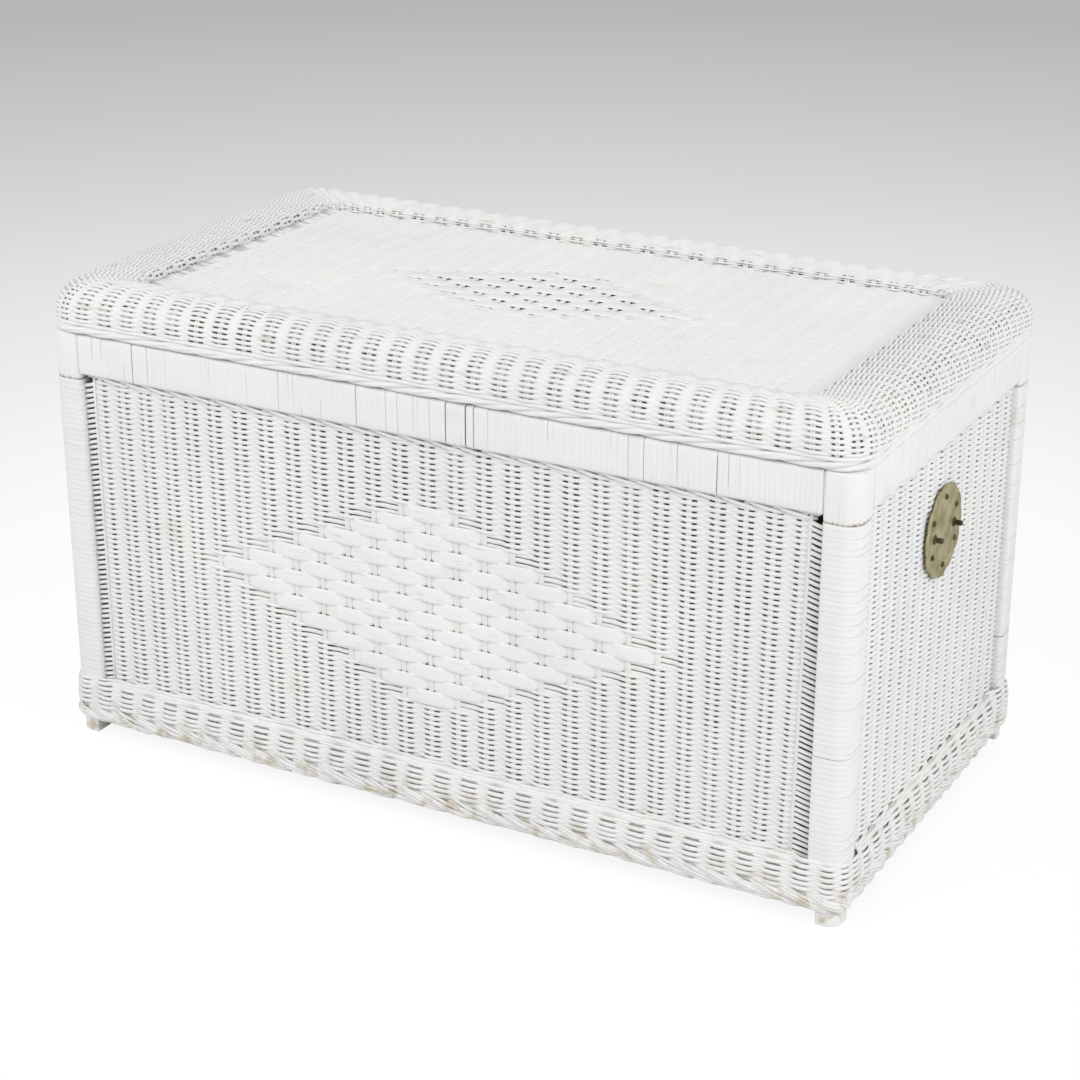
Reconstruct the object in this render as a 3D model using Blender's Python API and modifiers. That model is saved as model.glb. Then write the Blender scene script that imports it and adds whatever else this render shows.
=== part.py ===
"""Wicker trunk: a wooden frame wound with cane, woven walls with a splint diamond, and a hinged lid.

Metres, +Z up, front at -Y. The origin is on the floor under the middle of the trunk.
"""

import math

import bmesh
import bpy
from mathutils import Matrix, Vector

# Overall body, over the wound posts
BODY_W = 0.900
BODY_D = 0.480
RAIL_TOP = 0.459

# Frame
POST = 0.036
POST_ROUND = 0.016
POST_EASE = 0.005
WRAP = 0.002
RAIL_H = 0.0435
RAIL_T = 0.022
RAIL_EASE = 0.004
CORNER_DROP = 0.006
FOOT = 0.024
FOOT_H = 0.022
FOOT_INSET = 0.0015
FOOT_EASE = 0.002
BOTTOM_RAIL_T = 0.018
WOOD_EASE = 0.001

# Rope edge, off the floor, and the woven border above it
ROPE_LIFT = 0.014
ROPE_H = 0.020
ROPE_PROUD = 0.005
BORDER_H = 0.031
BORDER_PROUD = 0.006

# Woven walls
PANEL_T = 0.011
PANEL_INSET = 0.005
RIB = 0.0034
RIB_TOP = 0.28
RIB_FOOT = 0.72
LADDER = 0.012
LADDER_T = 0.0035
FRONT_SIDE_STAKES = 5
BACK_STAKES = 27
FRONT_EDGE = 0.019
END_STAKES = 15
END_EDGE = 0.013

# Splint diamonds: columns each side of the middle stake, rows each side of the middle row
STRIP = 0.0142
STAKE_SHOWN = 0.009
SPLINT_BASE = 0.0022
SPLINT_RISE = 0.0022
SPLINT_SLOPE = 0.0014
FRONT_DIAMOND = (8, 7)
FRONT_DIAMOND_PITCH = 0.0315
FRONT_DIAMOND_DROP = 0.0036
LID_DIAMOND = (6, 5)

# Floor
FLOOR_T = 0.006
FLOOR_LIFT = 0.0083
BATTEN_W = 0.030
BATTEN_T = 0.011
FLOOR_BATTEN_END = 0.250

# Lid: twisted edge, rolled rim, panel, and the bars inside
LID_OVERHANG = 0.006
LID_REST = 0.0007
LID_CORNER = 0.036
EDGE_INSET = 0.002
EDGE_H = 0.0128
EDGE_T = 0.0147
RIM_T = 0.0085
RIM_WALL = 0.0087
RIM_ROLL = 0.032
RIM_CREST_IN = 0.034
RIM_DIP = 0.004
RIM_LIP_R = 0.007
RIM_STEP = 0.0025
RIM_END_W = 0.082
RIM_LONG_W = 0.063
RIM_INNER_CORNER = 0.008
LID_STAKES = 25
LID_STAKE_EDGE = 0.018
LID_PANEL_T = 0.010
LID_PANEL_UNDER = 0.008
LID_FRAME_W = 0.020
LID_FRAME_ROUND = 0.0195
LID_FRAME_EASE = 0.0008
LID_BATTEN_END = 0.270
LID_BATTEN_W = 0.024
LID_BATTEN_T = 0.0097
LID_BATTEN_SHORT = 0.006

# Brass plates and stud posts on the ends
PLATE_R = 0.049
PLATE_LOBES = 12
PLATE_LOBE = 0.0012
PLATE_T = 0.0015
PLATE_EASE = 0.0004
PLATE_DROP = 0.0925
STUD_SPREAD = 0.027
STUD_R = 0.0027
STUD_FLANGE_R = 0.0050
STUD_FLANGE_T = 0.0008
STUD_L = 0.0095

# Butt hinges
HINGE_END = 0.190
HINGE_L = 0.060
KNUCKLE_R = 0.0027
KNUCKLE_END = 0.018
PIN_R = 0.0011
PIN_HEAD = 0.0012
PIN_PLAY = 0.0001
LEAF_T = 0.0012
LEAF_W = 0.022
LEAF_GAP = 0.0004

# Clearances
GAP = 0.0003
SEAT = 0.0003
KNUCKLE_FREE = 0.0006
NOTCH_FREE = 0.0011
NOTCH_SIDE = 0.0025
UNDER_FREE = 0.001

# Places that follow from the sizes above
HALF_W = BODY_W / 2
HALF_D = BODY_D / 2
RAIL_LOW = RAIL_TOP - RAIL_H
CORE_OUT = WRAP + GAP
CORE = POST - 2 * CORE_OUT
CORE_IN = CORE_OUT + CORE
BORDER_LOW = ROPE_LIFT + ROPE_H
BORDER_TOP = BORDER_LOW + BORDER_H
BASE_IN = min(FOOT_INSET, CORE_OUT) - GAP
PANEL_LOW = BORDER_TOP
PANEL_TOP = RAIL_LOW - SEAT
PANEL_MID = PANEL_INSET + PANEL_T / 2
FRONT_SPAN = HALF_W - POST - FRONT_EDGE
END_SPAN = HALF_D - POST - END_EDGE
FRONT_DIAMOND_Z = (PANEL_LOW + PANEL_TOP) / 2 - FRONT_DIAMOND_DROP
PLATE_Z = RAIL_LOW - PLATE_DROP
FLOOR_Z = BORDER_LOW + FLOOR_LIFT
LID_W = HALF_W + LID_OVERHANG
LID_D = HALF_D + LID_OVERHANG
LID_LOW = RAIL_TOP + LID_REST
RIM_LOW = LID_LOW + EDGE_H + SEAT
RIM_SIDE_Z = RIM_LOW + RIM_WALL
RIM_CREST_Z = RIM_SIDE_Z + RIM_ROLL
RIM_LIP_Z = RIM_CREST_Z - RIM_DIP
LID_PANEL_TOP = RIM_LIP_Z - RIM_LIP_R - RIM_STEP
LID_PANEL_LOW = LID_PANEL_TOP - LID_PANEL_T
LID_INNER_W = LID_W - RIM_END_W
LID_INNER_D = LID_D - RIM_LONG_W
LID_SPAN = LID_INNER_W - LID_STAKE_EDGE
LID_PITCH = 2 * LID_SPAN / (LID_STAKES - 1)
LID_FRAME_OUT_W = LID_W - EDGE_INSET - EDGE_T - GAP
LID_FRAME_OUT_D = LID_D - EDGE_INSET - EDGE_T - GAP
LID_FRAME_BEND = min(LID_FRAME_ROUND, LID_FRAME_W)
LID_FRAME_LOW = RAIL_TOP + 2 * SEAT + 2 * LEAF_T + LEAF_GAP
LID_FRAME_TOP = LID_PANEL_LOW - LID_BATTEN_T - 2 * SEAT
HINGE_X = HALF_W - HINGE_END
HINGE_Y = HALF_D + KNUCKLE_R + KNUCKLE_FREE
HINGE_Z = RAIL_TOP + SEAT + LEAF_T + LEAF_GAP / 2
BORE_R = PIN_R + PIN_PLAY
LEAF_ROOT = (KNUCKLE_R + BORE_R) / 2

SIDES_X = (("left", -1), ("right", 1))
SIDES_Y = (("front", -1), ("back", 1))

# Colour, roughness, metallic
PAINT = ((0.80, 0.80, 0.78), 0.55, 0.0)
CANE = ((0.83, 0.83, 0.81), 0.48, 0.0)
SPLINT = ((0.84, 0.84, 0.82), 0.45, 0.0)
WOOD = ((0.55, 0.40, 0.24), 0.70, 0.0)
BOARD = ((0.62, 0.48, 0.31), 0.75, 0.0)
BRASS = ((0.36, 0.29, 0.17), 0.48, 0.9)
DARK_BRASS = ((0.12, 0.09, 0.05), 0.55, 0.8)
STEEL = ((0.42, 0.36, 0.25), 0.42, 1.0)


def clear_scene():
    for obj in list(bpy.data.objects):
        bpy.data.objects.remove(obj, do_unlink=True)
    for group in list(bpy.data.collections):
        bpy.data.collections.remove(group)


def group(name):
    made = bpy.data.collections.new(name)
    bpy.context.scene.collection.children.link(made)
    return made


clear_scene()
PARTS = group("wicker_trunk")
CUTTERS = group("wicker_trunk_cutters")
LID_AXIS = bpy.data.objects.new("lid_axis", None)
LID_AXIS.location = (0, HINGE_Y, HINGE_Z)
PARTS.objects.link(LID_AXIS)


def finish(obj, look):
    """Gives the piece its own material."""
    made = bpy.data.materials.new(obj.name)
    made.use_nodes = True
    shader = made.node_tree.nodes["Principled BSDF"]
    shader.inputs["Base Color"].default_value = (*look[0], 1)
    shader.inputs["Roughness"].default_value = look[1]
    shader.inputs["Metallic"].default_value = look[2]
    obj.data.materials.append(made)


def on_lid(*pieces):
    """Hangs pieces of the lid from the hinge axis without moving them."""
    for piece in pieces:
        piece.parent = LID_AXIS
        piece.matrix_parent_inverse = Matrix.Translation(LID_AXIS.location).inverted()


def as_cutter(obj):
    PARTS.objects.unlink(obj)
    CUTTERS.objects.link(obj)
    obj.hide_render = True
    obj.display_type = "WIRE"
    return obj


def boolean(obj, other, operation="DIFFERENCE"):
    made = obj.modifiers.new(operation.title(), "BOOLEAN")
    made.operation = operation
    made.solver = "EXACT"
    made.object = other


def eased(obj, width, segments=1):
    """A small rounding along the sharp edges, as on sanded wood."""
    made = obj.modifiers.new("Ease", "BEVEL")
    made.width = width
    made.segments = segments
    made.limit_method = "ANGLE"
    made.angle_limit = math.radians(50)


AXES = {
    "Z": Matrix(((1, 0, 0), (0, 1, 0), (0, 0, 1))),
    "X": Matrix(((0, 0, 1), (1, 0, 0), (0, 1, 0))),
    "Y": Matrix(((0, 1, 0), (0, 0, 1), (1, 0, 0))),
}


def extruded(name, loops, low, high, look, axis="Z", ease=0.0):
    """A flat outline, with any hole, drawn out along an axis.

    Outlines are in (X, Y) for Z, in (Y, Z) for X and in (Z, X) for Y.
    """
    mesh = bpy.data.meshes.new(name) if len(loops) == 1 else hollow_sheet(name, loops)
    work = bmesh.new()
    work.from_mesh(mesh)
    if len(loops) == 1:
        work.faces.new([work.verts.new((u, v, 0)) for u, v in loops[0]])
    drawn = bmesh.ops.extrude_face_region(work, geom=work.faces[:], use_keep_orig=True)["geom"]
    upper = [item for item in drawn if isinstance(item, bmesh.types.BMVert)]
    bmesh.ops.translate(work, verts=upper, vec=(0, 0, high - low))
    bmesh.ops.translate(work, verts=work.verts, vec=(0, 0, low))
    bmesh.ops.rotate(work, verts=work.verts, matrix=AXES[axis])
    bmesh.ops.recalc_face_normals(work, faces=work.faces)
    work.to_mesh(mesh)
    work.free()
    obj = bpy.data.objects.new(name, mesh)
    PARTS.objects.link(obj)
    finish(obj, look)
    if ease:
        eased(obj, ease)
    return obj


def hollow_sheet(name, loops):
    """A flat sheet inside the first outline and outside the others."""
    drawing = bpy.data.curves.new(name, "CURVE")
    drawing.dimensions = "2D"
    drawing.fill_mode = "FRONT"
    for loop in loops:
        spline = drawing.splines.new("POLY")
        spline.points.add(len(loop) - 1)
        for point, (u, v) in zip(spline.points, loop):
            point.co = (u, v, 0, 1)
        spline.use_cyclic_u = True
    shape = bpy.data.objects.new(name + "_outline", drawing)
    mesh = bpy.data.meshes.new_from_object(shape)
    bpy.data.objects.remove(shape)
    bpy.data.curves.remove(drawing)
    mesh.name = name
    return mesh


def lofted(name, rings, look):
    """A closed ring through outlines of equal point count, each one flat at its own height."""
    work = bmesh.new()
    rows = [[work.verts.new(point) for point in ring] for ring in rings]
    for near, far in zip(rows, rows[1:] + rows[:1]):
        for k in range(len(near)):
            after = (k + 1) % len(near)
            work.faces.new((near[k], near[after], far[after], far[k]))
    bmesh.ops.recalc_face_normals(work, faces=work.faces)
    mesh = bpy.data.meshes.new(name)
    work.to_mesh(mesh)
    work.free()
    obj = bpy.data.objects.new(name, mesh)
    PARTS.objects.link(obj)
    finish(obj, look)
    return obj


def outline(low_x, high_x, low_y, high_y, rounds, steps=4):
    """A rectangle with its own rounding at each corner, from low-low counter-clockwise."""
    corners = ((low_x, low_y, 1, 1), (high_x, low_y, -1, 1), (high_x, high_y, -1, -1), (low_x, high_y, 1, -1))
    points = []
    for turn, ((x, y, in_x, in_y), radius) in enumerate(zip(corners, rounds)):
        count = steps if radius > 0 else 0
        for k in range(count + 1):
            angle = math.radians(180 + 90 * turn + (90 * k / steps))
            bow_x = x + in_x * radius + radius * math.cos(angle)
            bow_y = y + in_y * radius + radius * math.sin(angle)
            points.append((bow_x, bow_y))
    return points


def box_outline(low_x, high_x, low_y, high_y):
    return outline(low_x, high_x, low_y, high_y, (0, 0, 0, 0))


def ring_outline(half_x, half_y, radius, z, steps=4):
    return [(x, y, z) for x, y in outline(-half_x, half_x, -half_y, half_y, (radius,) * 4, steps)]


def turned(name, profile, place, axis, look, steps=24):
    """A profile of (radius, height) turned round an axis."""
    mesh = bpy.data.meshes.new(name)
    work = bmesh.new()
    last = None
    for radius, height in profile:
        point = work.verts.new((radius, 0, height))
        if last:
            work.edges.new((last, point))
        last = point
    work.to_mesh(mesh)
    work.free()
    obj = bpy.data.objects.new(name, mesh)
    PARTS.objects.link(obj)
    turn = obj.modifiers.new("Turn", "SCREW")
    turn.axis = "Z"
    turn.steps = steps
    turn.render_steps = steps
    turn.use_merge_vertices = True
    turn.merge_threshold = 0.00001
    turn.use_normal_flip = True
    obj.matrix_world = Matrix.Translation(place) @ Vector(axis).to_track_quat("Z", "Y").to_matrix().to_4x4()
    finish(obj, look)
    return obj


def quarter(points, sign_x, sign_y):
    """Carries an outline of the right back corner to another corner."""
    moved = [(sign_x * x, sign_y * y) for x, y in points]
    return moved if sign_x * sign_y > 0 else moved[::-1]


def corner_section(inset, round_out, round_in):
    low_x, high_x = HALF_W - POST + inset, HALF_W - inset
    low_y, high_y = HALF_D - POST + inset, HALF_D - inset
    return outline(low_x, high_x, low_y, high_y, (round_in, round_in, round_out, round_in))


def corner(name_x, sign_x, name_y, sign_y):
    """Post, its winding, the wrap over the rail joint, and the foot, at one corner."""
    where = f"{name_y}_{name_x}"
    core = corner_section(CORE_OUT, POST_ROUND - CORE_OUT, POST_EASE - CORE_OUT)
    extruded(
        f"corner_post_{where}",
        [quarter(core, sign_x, sign_y)],
        FOOT_H + SEAT,
        RAIL_TOP - SEAT,
        WOOD,
    )
    skin = corner_section(0, POST_ROUND, POST_EASE)
    hollow = corner_section(WRAP, POST_ROUND - WRAP, POST_EASE - WRAP)
    extruded(
        f"post_winding_{where}",
        [quarter(skin, sign_x, sign_y), quarter(hollow, sign_x, sign_y)],
        BORDER_TOP + SEAT,
        RAIL_LOW - CORNER_DROP - SEAT,
        CANE,
    )
    wrap = corner_shell()
    extruded(
        f"corner_wrap_{where}",
        [quarter(wrap, sign_x, sign_y)],
        RAIL_LOW - CORNER_DROP,
        RAIL_TOP,
        CANE,
    )
    low_x, high_x = HALF_W - FOOT_INSET - FOOT, HALF_W - FOOT_INSET
    low_y, high_y = HALF_D - FOOT_INSET - FOOT, HALF_D - FOOT_INSET
    block = outline(low_x, high_x, low_y, high_y, (FOOT_EASE, FOOT_EASE, POST_ROUND - FOOT_INSET, FOOT_EASE))
    extruded(f"foot_{where}", [quarter(block, sign_x, sign_y)], 0, FOOT_H, PAINT, ease=WOOD_EASE)


def corner_shell():
    """The two outer faces of the post, covered by a bent sheet of strips."""
    outer = outline(HALF_W - POST, HALF_W, HALF_D - POST, HALF_D, (0, 0, POST_ROUND, 0))
    inner = outline(HALF_W - POST, HALF_W - WRAP, HALF_D - POST, HALF_D - WRAP, (0, 0, POST_ROUND - WRAP, 0))
    return outer[1:] + inner[:0:-1]


def rails():
    """Wound top rails and plain bottom rails, butted between the posts."""
    low, high = RAIL_LOW + CORE_OUT, RAIL_TOP - CORE_OUT
    for side, sign in SIDES_Y:
        face = sign * HALF_D
        reach = HALF_W - CORE_IN - GAP
        core = bar_section(face, sign, CORE_OUT, RAIL_T - CORE_OUT, low, high)
        extruded(f"top_rail_{side}", [core], -reach, reach, WOOD, "X", WOOD_EASE)
        wound = HALF_W - POST - GAP
        extruded(f"rail_winding_{side}", winding_section(face, sign), -wound, wound, CANE, "X")
        sill = bar_section(face, sign, CORE_OUT, CORE_OUT + BOTTOM_RAIL_T, BORDER_LOW, BORDER_TOP - SEAT)
        extruded(f"bottom_rail_{side}", [sill], -reach, reach, WOOD, "X", WOOD_EASE)
    for side, sign in SIDES_X:
        face = sign * HALF_W
        reach = HALF_D - CORE_IN - GAP
        core = swapped(bar_section(face, sign, CORE_OUT, RAIL_T - CORE_OUT, low, high))
        extruded(f"top_rail_{side}", [core], -reach, reach, WOOD, "Y", WOOD_EASE)
        wound = HALF_D - POST - GAP
        loops = [swapped(loop) for loop in winding_section(face, sign)]
        extruded(f"rail_winding_{side}", loops, -wound, wound, CANE, "Y")
        sill = bar_section(face, sign, CORE_OUT, CORE_OUT + BOTTOM_RAIL_T, BORDER_LOW, BORDER_TOP - SEAT)
        extruded(f"bottom_rail_{side}", [swapped(sill)], -reach, reach, WOOD, "Y", WOOD_EASE)


def swapped(loop):
    return [(v, u) for u, v in loop]


def bar_section(face, sign, near, far, low, high):
    """A bar's section between two depths behind a face of the body."""
    return box_outline(*sorted((face - sign * near, face - sign * far)), low, high)


def winding_section(face, sign):
    low, high = sorted((face, face - sign * RAIL_T))
    skin = outline(low, high, RAIL_LOW, RAIL_TOP, (RAIL_EASE,) * 4, 3)
    hollow = box_outline(low + WRAP, high - WRAP, RAIL_LOW + WRAP, RAIL_TOP - WRAP)
    return [skin, hollow]


def evenly(span, count):
    """Places of stakes spread evenly across a width."""
    return [span * (2 * k / (count - 1) - 1) for k in range(count)]


def front_stakes():
    """Stakes of the front: those of the diamond at their own pitch, the rest spread out to the posts."""
    middle = [k * FRONT_DIAMOND_PITCH for k in range(-FRONT_DIAMOND[0], FRONT_DIAMOND[0] + 1)]
    step = (FRONT_SPAN - middle[-1]) / FRONT_SIDE_STAKES
    side = [middle[-1] + step * (k + 1) for k in range(FRONT_SIDE_STAKES)]
    return [-x for x in reversed(side)] + middle + side


def ribbed(stakes, reach, ladder=0, selvedge=0):
    """One face and the other of a woven wall: a rib at each stake.

    Beside the posts is a thin ladder, or under a lip a selvedge of the full thickness.
    """
    edge = reach - ladder
    slope = edge - selvedge - RIB if selvedge else edge
    before = [stakes[1] - stakes[0]] + [b - a for a, b in zip(stakes, stakes[1:])]
    after = before[1:] + before[-1:]
    steps = []
    for place, low, high in zip(stakes, before, after):
        steps += [(place - RIB_FOOT * low / 2, 0), (place - RIB_TOP * low / 2, 1)]
        steps += [(place + RIB_TOP * high / 2, 1), (place + RIB_FOOT * high / 2, 0)]
    steps = [(s, high) for s, high in steps if abs(s) < slope - GAP]
    steps = [(-slope, 0)] + steps + [(slope, 0)]
    if selvedge:
        full = edge - selvedge
        steps = [(-edge, 1), (-full, 1)] + steps + [(full, 1), (edge, 1)]
    outer = [(s, PANEL_T / 2 - RIB * (1 - high)) for s, high in steps]
    if ladder:
        half = LADDER_T / 2
        outer = [(-reach, half), (-edge, half)] + outer + [(edge, half), (reach, half)]
    return outer + [(s, -t) for s, t in reversed(outer)]


def walls():
    """Four woven panels, seated between the winding of the posts and the rails."""
    reach = HALF_W - POST - GAP
    for side, sign in SIDES_Y:
        stakes = front_stakes() if side == "front" else evenly(FRONT_SPAN, BACK_STAKES)
        middle = sign * (HALF_D - PANEL_MID)
        loop = [(s, middle + t) for s, t in ribbed(stakes, reach, LADDER)]
        extruded(f"wicker_panel_{side}", [loop], PANEL_LOW, PANEL_TOP, PAINT)
    reach = HALF_D - POST - GAP
    for side, sign in SIDES_X:
        middle = sign * (HALF_W - PANEL_MID)
        loop = [(middle + t, s) for s, t in ribbed(evenly(END_SPAN, END_STAKES), reach)]
        extruded(f"wicker_panel_{side}", [loop], PANEL_LOW, PANEL_TOP, PAINT)


def diamond_rows(size):
    """Row number and the number of stakes each side of the middle that the row reaches."""
    columns, rows = size
    return [(row, columns - abs(row)) for row in range(-rows, rows + 1)]


def diamond_splints(name, size, pitch, place, look):
    """Flat splints that pass over and under the stakes: raised floats on a stepped sheet.

    A float covers one stake and the spaces beside it. Rows next to each other are one stake apart.
    """
    columns, rows = size
    half = STAKE_SHOWN / 2
    across = [k * pitch + e * half for k in range(-columns, columns + 1) for e in (-1, 1)]
    work = bmesh.new()
    corners = {}

    def corner_at(column, row):
        key = (column, row)
        if key not in corners:
            corners[key] = work.verts.new((across[column], (row - 0.5) * STRIP, 0))
        return corners[key]

    floats = []
    for row, reach in diamond_rows(size):
        for stake in range(-reach, reach + 1):
            first = 2 * (stake + columns)
            cells = [first] if stake == reach else [first, first + 1]
            for cell in cells:
                ring = ((cell, row), (cell + 1, row), (cell + 1, row + 1), (cell, row + 1))
                work.faces.new([corner_at(*spot) for spot in ring])
    sheet = list(work.faces)
    lower = bmesh.ops.extrude_face_region(work, geom=sheet, use_keep_orig=True)["geom"]
    bottom = [item for item in lower if isinstance(item, bmesh.types.BMVert)]
    bmesh.ops.translate(work, verts=bottom, vec=(0, 0, -SPLINT_BASE))
    bmesh.ops.recalc_face_normals(work, faces=work.faces)
    tops = [face for face in work.faces if face.normal.z > 0.9]
    centres = {face: face.calc_center_median() for face in tops}
    for row, reach in diamond_rows(size):
        for stake in range(-reach + 1, reach, 2):
            near = [face for face in tops
                    if abs(centres[face].x - stake * pitch) < pitch - half
                    and abs(centres[face].y - row * STRIP) < STRIP / 3]
            floats.append(near)
    for faces in floats:
        bmesh.ops.inset_region(work, faces=faces, thickness=SPLINT_SLOPE, use_even_offset=True)
        raised = {vert for face in faces for vert in face.verts}
        bmesh.ops.translate(work, verts=list(raised), vec=(0, 0, SPLINT_RISE))
    flat = [face for face in work.faces if face.normal.z < -0.9]
    bmesh.ops.dissolve_faces(work, faces=flat)
    mesh = bpy.data.meshes.new(name)
    work.to_mesh(mesh)
    work.free()
    mesh.transform(place)
    obj = bpy.data.objects.new(name, mesh)
    PARTS.objects.link(obj)
    finish(obj, look)
    return obj


def diamond_pocket(name, size, pitch, depth, place):
    """The stepped hole that the splints fill, a clearance larger all round."""
    right = []
    for row, reach in diamond_rows(size):
        edge = reach * pitch + STAKE_SHOWN / 2 + GAP
        low = (row - 0.5) * STRIP + (GAP if row > 0 else -GAP)
        high = (row + 0.5) * STRIP + (-GAP if row < 0 else GAP)
        right += [(edge, low), (edge, high)]
    loop = right + [(-x, y) for x, y in reversed(right)]
    cutter = extruded(name, [loop], -depth, PANEL_T, PAINT)
    cutter.data.transform(place)
    return as_cutter(cutter)


def diamonds():
    deep = SPLINT_BASE + GAP
    face = -(HALF_D - PANEL_INSET)
    stand = Matrix(((1, 0, 0, 0), (0, 0, -1, face + SPLINT_RISE), (0, 1, 0, FRONT_DIAMOND_Z), (0, 0, 0, 1)))
    diamond_splints("front_diamond", FRONT_DIAMOND, FRONT_DIAMOND_PITCH, stand, SPLINT)
    cutter = diamond_pocket("front_pocket", FRONT_DIAMOND, FRONT_DIAMOND_PITCH, deep, stand)
    boolean(bpy.data.objects["wicker_panel_front"], cutter)
    flat = Matrix.Translation((0, 0, LID_PANEL_TOP - SPLINT_RISE))
    on_lid(diamond_splints("lid_diamond", LID_DIAMOND, LID_PITCH, flat, SPLINT))
    cutter = diamond_pocket("lid_pocket", LID_DIAMOND, LID_PITCH, deep, flat)
    boolean(bpy.data.objects["lid_panel"], cutter)


def oval(low, high, bottom, top, power, steps=12):
    """Points of a full, rounded section between two insets and two heights."""
    points = []
    for k in range(steps):
        angle = 2 * math.pi * (k + 0.5) / steps
        across, up = math.cos(angle), math.sin(angle)
        u = (low + high) / 2 - (high - low) / 2 * math.copysign(abs(across) ** (2 / power), across)
        z = (bottom + top) / 2 + (top - bottom) / 2 * math.copysign(abs(up) ** (2 / power), up)
        points.append((u, z))
    return points


def swept(name, half_x, half_y, radius, inner_radius, section, look):
    """A section of (inset, height) carried round a rounded rectangle."""
    deep = max(u for u, _ in section)
    rings = []
    for u, z in section:
        bend = radius + (inner_radius - radius) * u / deep
        rings.append(ring_outline(half_x - u, half_y - u, bend, z))
    return lofted(name, rings, look)


def base():
    """Woven border and rope edge round the foot of the trunk."""
    bend = POST_ROUND - BASE_IN
    section = oval(0, BORDER_PROUD + BASE_IN, BORDER_LOW + SEAT, BORDER_TOP, 5)
    out = (HALF_W + BORDER_PROUD, HALF_D + BORDER_PROUD, POST_ROUND + BORDER_PROUD)
    swept("base_border", *out, bend, section, PAINT)
    section = oval(0, ROPE_PROUD + BASE_IN, ROPE_LIFT, BORDER_LOW, 2.6)
    out = (HALF_W + ROPE_PROUD, HALF_D + ROPE_PROUD, POST_ROUND + ROPE_PROUD)
    swept("base_rope", *out, bend, section, PAINT)


def floor():
    """Board notched round the posts, on two battens between the long bottom rails."""
    reach_x = HALF_W - CORE_OUT - BOTTOM_RAIL_T - GAP
    reach_y = HALF_D - CORE_OUT - BOTTOM_RAIL_T - GAP
    notch_x = HALF_W - CORE_IN - 2 * GAP
    notch_y = HALF_D - CORE_IN - 2 * GAP
    right = [(notch_x, -reach_y), (notch_x, -notch_y), (reach_x, -notch_y)]
    right += [(x, -y) for x, y in reversed(right)]
    loop = right + [(-x, -y) for x, y in right]
    extruded("floor_board", [loop], FLOOR_Z, FLOOR_Z + FLOOR_T, BOARD)
    top = FLOOR_Z - SEAT
    for side, sign in SIDES_X:
        middle = sign * (HALF_W - FLOOR_BATTEN_END)
        bar = box_outline(middle - BATTEN_W / 2, middle + BATTEN_W / 2, -reach_y, reach_y)
        extruded(f"floor_batten_{side}", [bar], top - BATTEN_T, top, WOOD, ease=WOOD_EASE)


def rim_section():
    """Points round the rolled rim: up the outside, over the crest, back underneath.

    Each is the inset up to the crest, the share of the way from the crest to the inner edge, and the height.
    """
    flat = RIM_LONG_W - RIM_CREST_IN
    lip = 1 - RIM_LIP_R / flat
    seat = LID_PANEL_TOP + SEAT
    outside = [(EDGE_INSET, 0, RIM_LOW)]
    for k in range(7):
        angle = math.radians(15 * k)
        outside.append((RIM_CREST_IN * (1 - math.cos(angle)), 0, RIM_SIDE_Z + RIM_ROLL * math.sin(angle)))
    for k in (1, 2, 3):
        fall = RIM_DIP * (1 - math.cos(math.pi * k / 3)) / 2
        outside.append((RIM_CREST_IN, lip * k / 3, RIM_CREST_Z - fall))
    for k in (1, 2, 3):
        angle = math.radians(30 * k)
        past = lip + (1 - lip) * math.sin(angle)
        outside.append((RIM_CREST_IN, past, RIM_LIP_Z - RIM_LIP_R * (1 - math.cos(angle))))
    outside.append((RIM_CREST_IN, 1, seat))
    under = [(RIM_CREST_IN, 1 - (LID_PANEL_UNDER + UNDER_FREE) / flat, seat)]
    for k in range(6, -1, -1):
        angle = math.radians(15 * k)
        inset = RIM_CREST_IN - (RIM_CREST_IN - RIM_T) * math.cos(angle)
        under.append((inset, 0, RIM_SIDE_Z + (RIM_ROLL - RIM_T) * math.sin(angle)))
    under.append((EDGE_INSET + RIM_T, 0, RIM_LOW))
    return outside + under


def lid():
    """Rolled rim, twisted edge, ribbed top panel, and the frame and battens inside."""
    rings = []
    for near, past, z in rim_section():
        in_x = near + past * (RIM_END_W - RIM_CREST_IN)
        in_y = near + past * (RIM_LONG_W - RIM_CREST_IN)
        bend = LID_CORNER + (RIM_INNER_CORNER - LID_CORNER) * (near + in_y) / (RIM_CREST_IN + RIM_LONG_W)
        rings.append(ring_outline(LID_W - in_x, LID_D - in_y, bend, z))
    on_lid(lofted("lid_rim", rings, PAINT))
    section = oval(0, EDGE_T, LID_LOW, LID_LOW + EDGE_H, 4)
    out = (LID_W - EDGE_INSET, LID_D - EDGE_INSET, LID_CORNER - EDGE_INSET)
    edge = swept("lid_edge", *out, LID_FRAME_BEND + GAP, section, PAINT)
    on_lid(edge)
    half = HINGE_L / 2 + NOTCH_SIDE
    top = HINGE_Z + KNUCKLE_R + NOTCH_FREE
    for side, sign in SIDES_X:
        hollow = box_outline(sign * HINGE_X - half, sign * HINGE_X + half, HALF_D - EDGE_T, LID_D + EDGE_T)
        boolean(edge, as_cutter(extruded(f"hinge_notch_{side}", [hollow], LID_LOW - EDGE_H, top, PAINT)))
    out_x = LID_INNER_W + LID_PANEL_UNDER
    out_y = LID_INNER_D + LID_PANEL_UNDER
    middle = (LID_PANEL_TOP + LID_PANEL_LOW) / 2
    ribs = ribbed(evenly(LID_SPAN, LID_STAKES), out_x, selvedge=LID_PANEL_UNDER)
    section = [(middle + t * LID_PANEL_T / PANEL_T, s) for s, t in ribs]
    on_lid(extruded("lid_panel", [section], -out_y, out_y, PAINT, "Y"))
    lid_frame()


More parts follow.
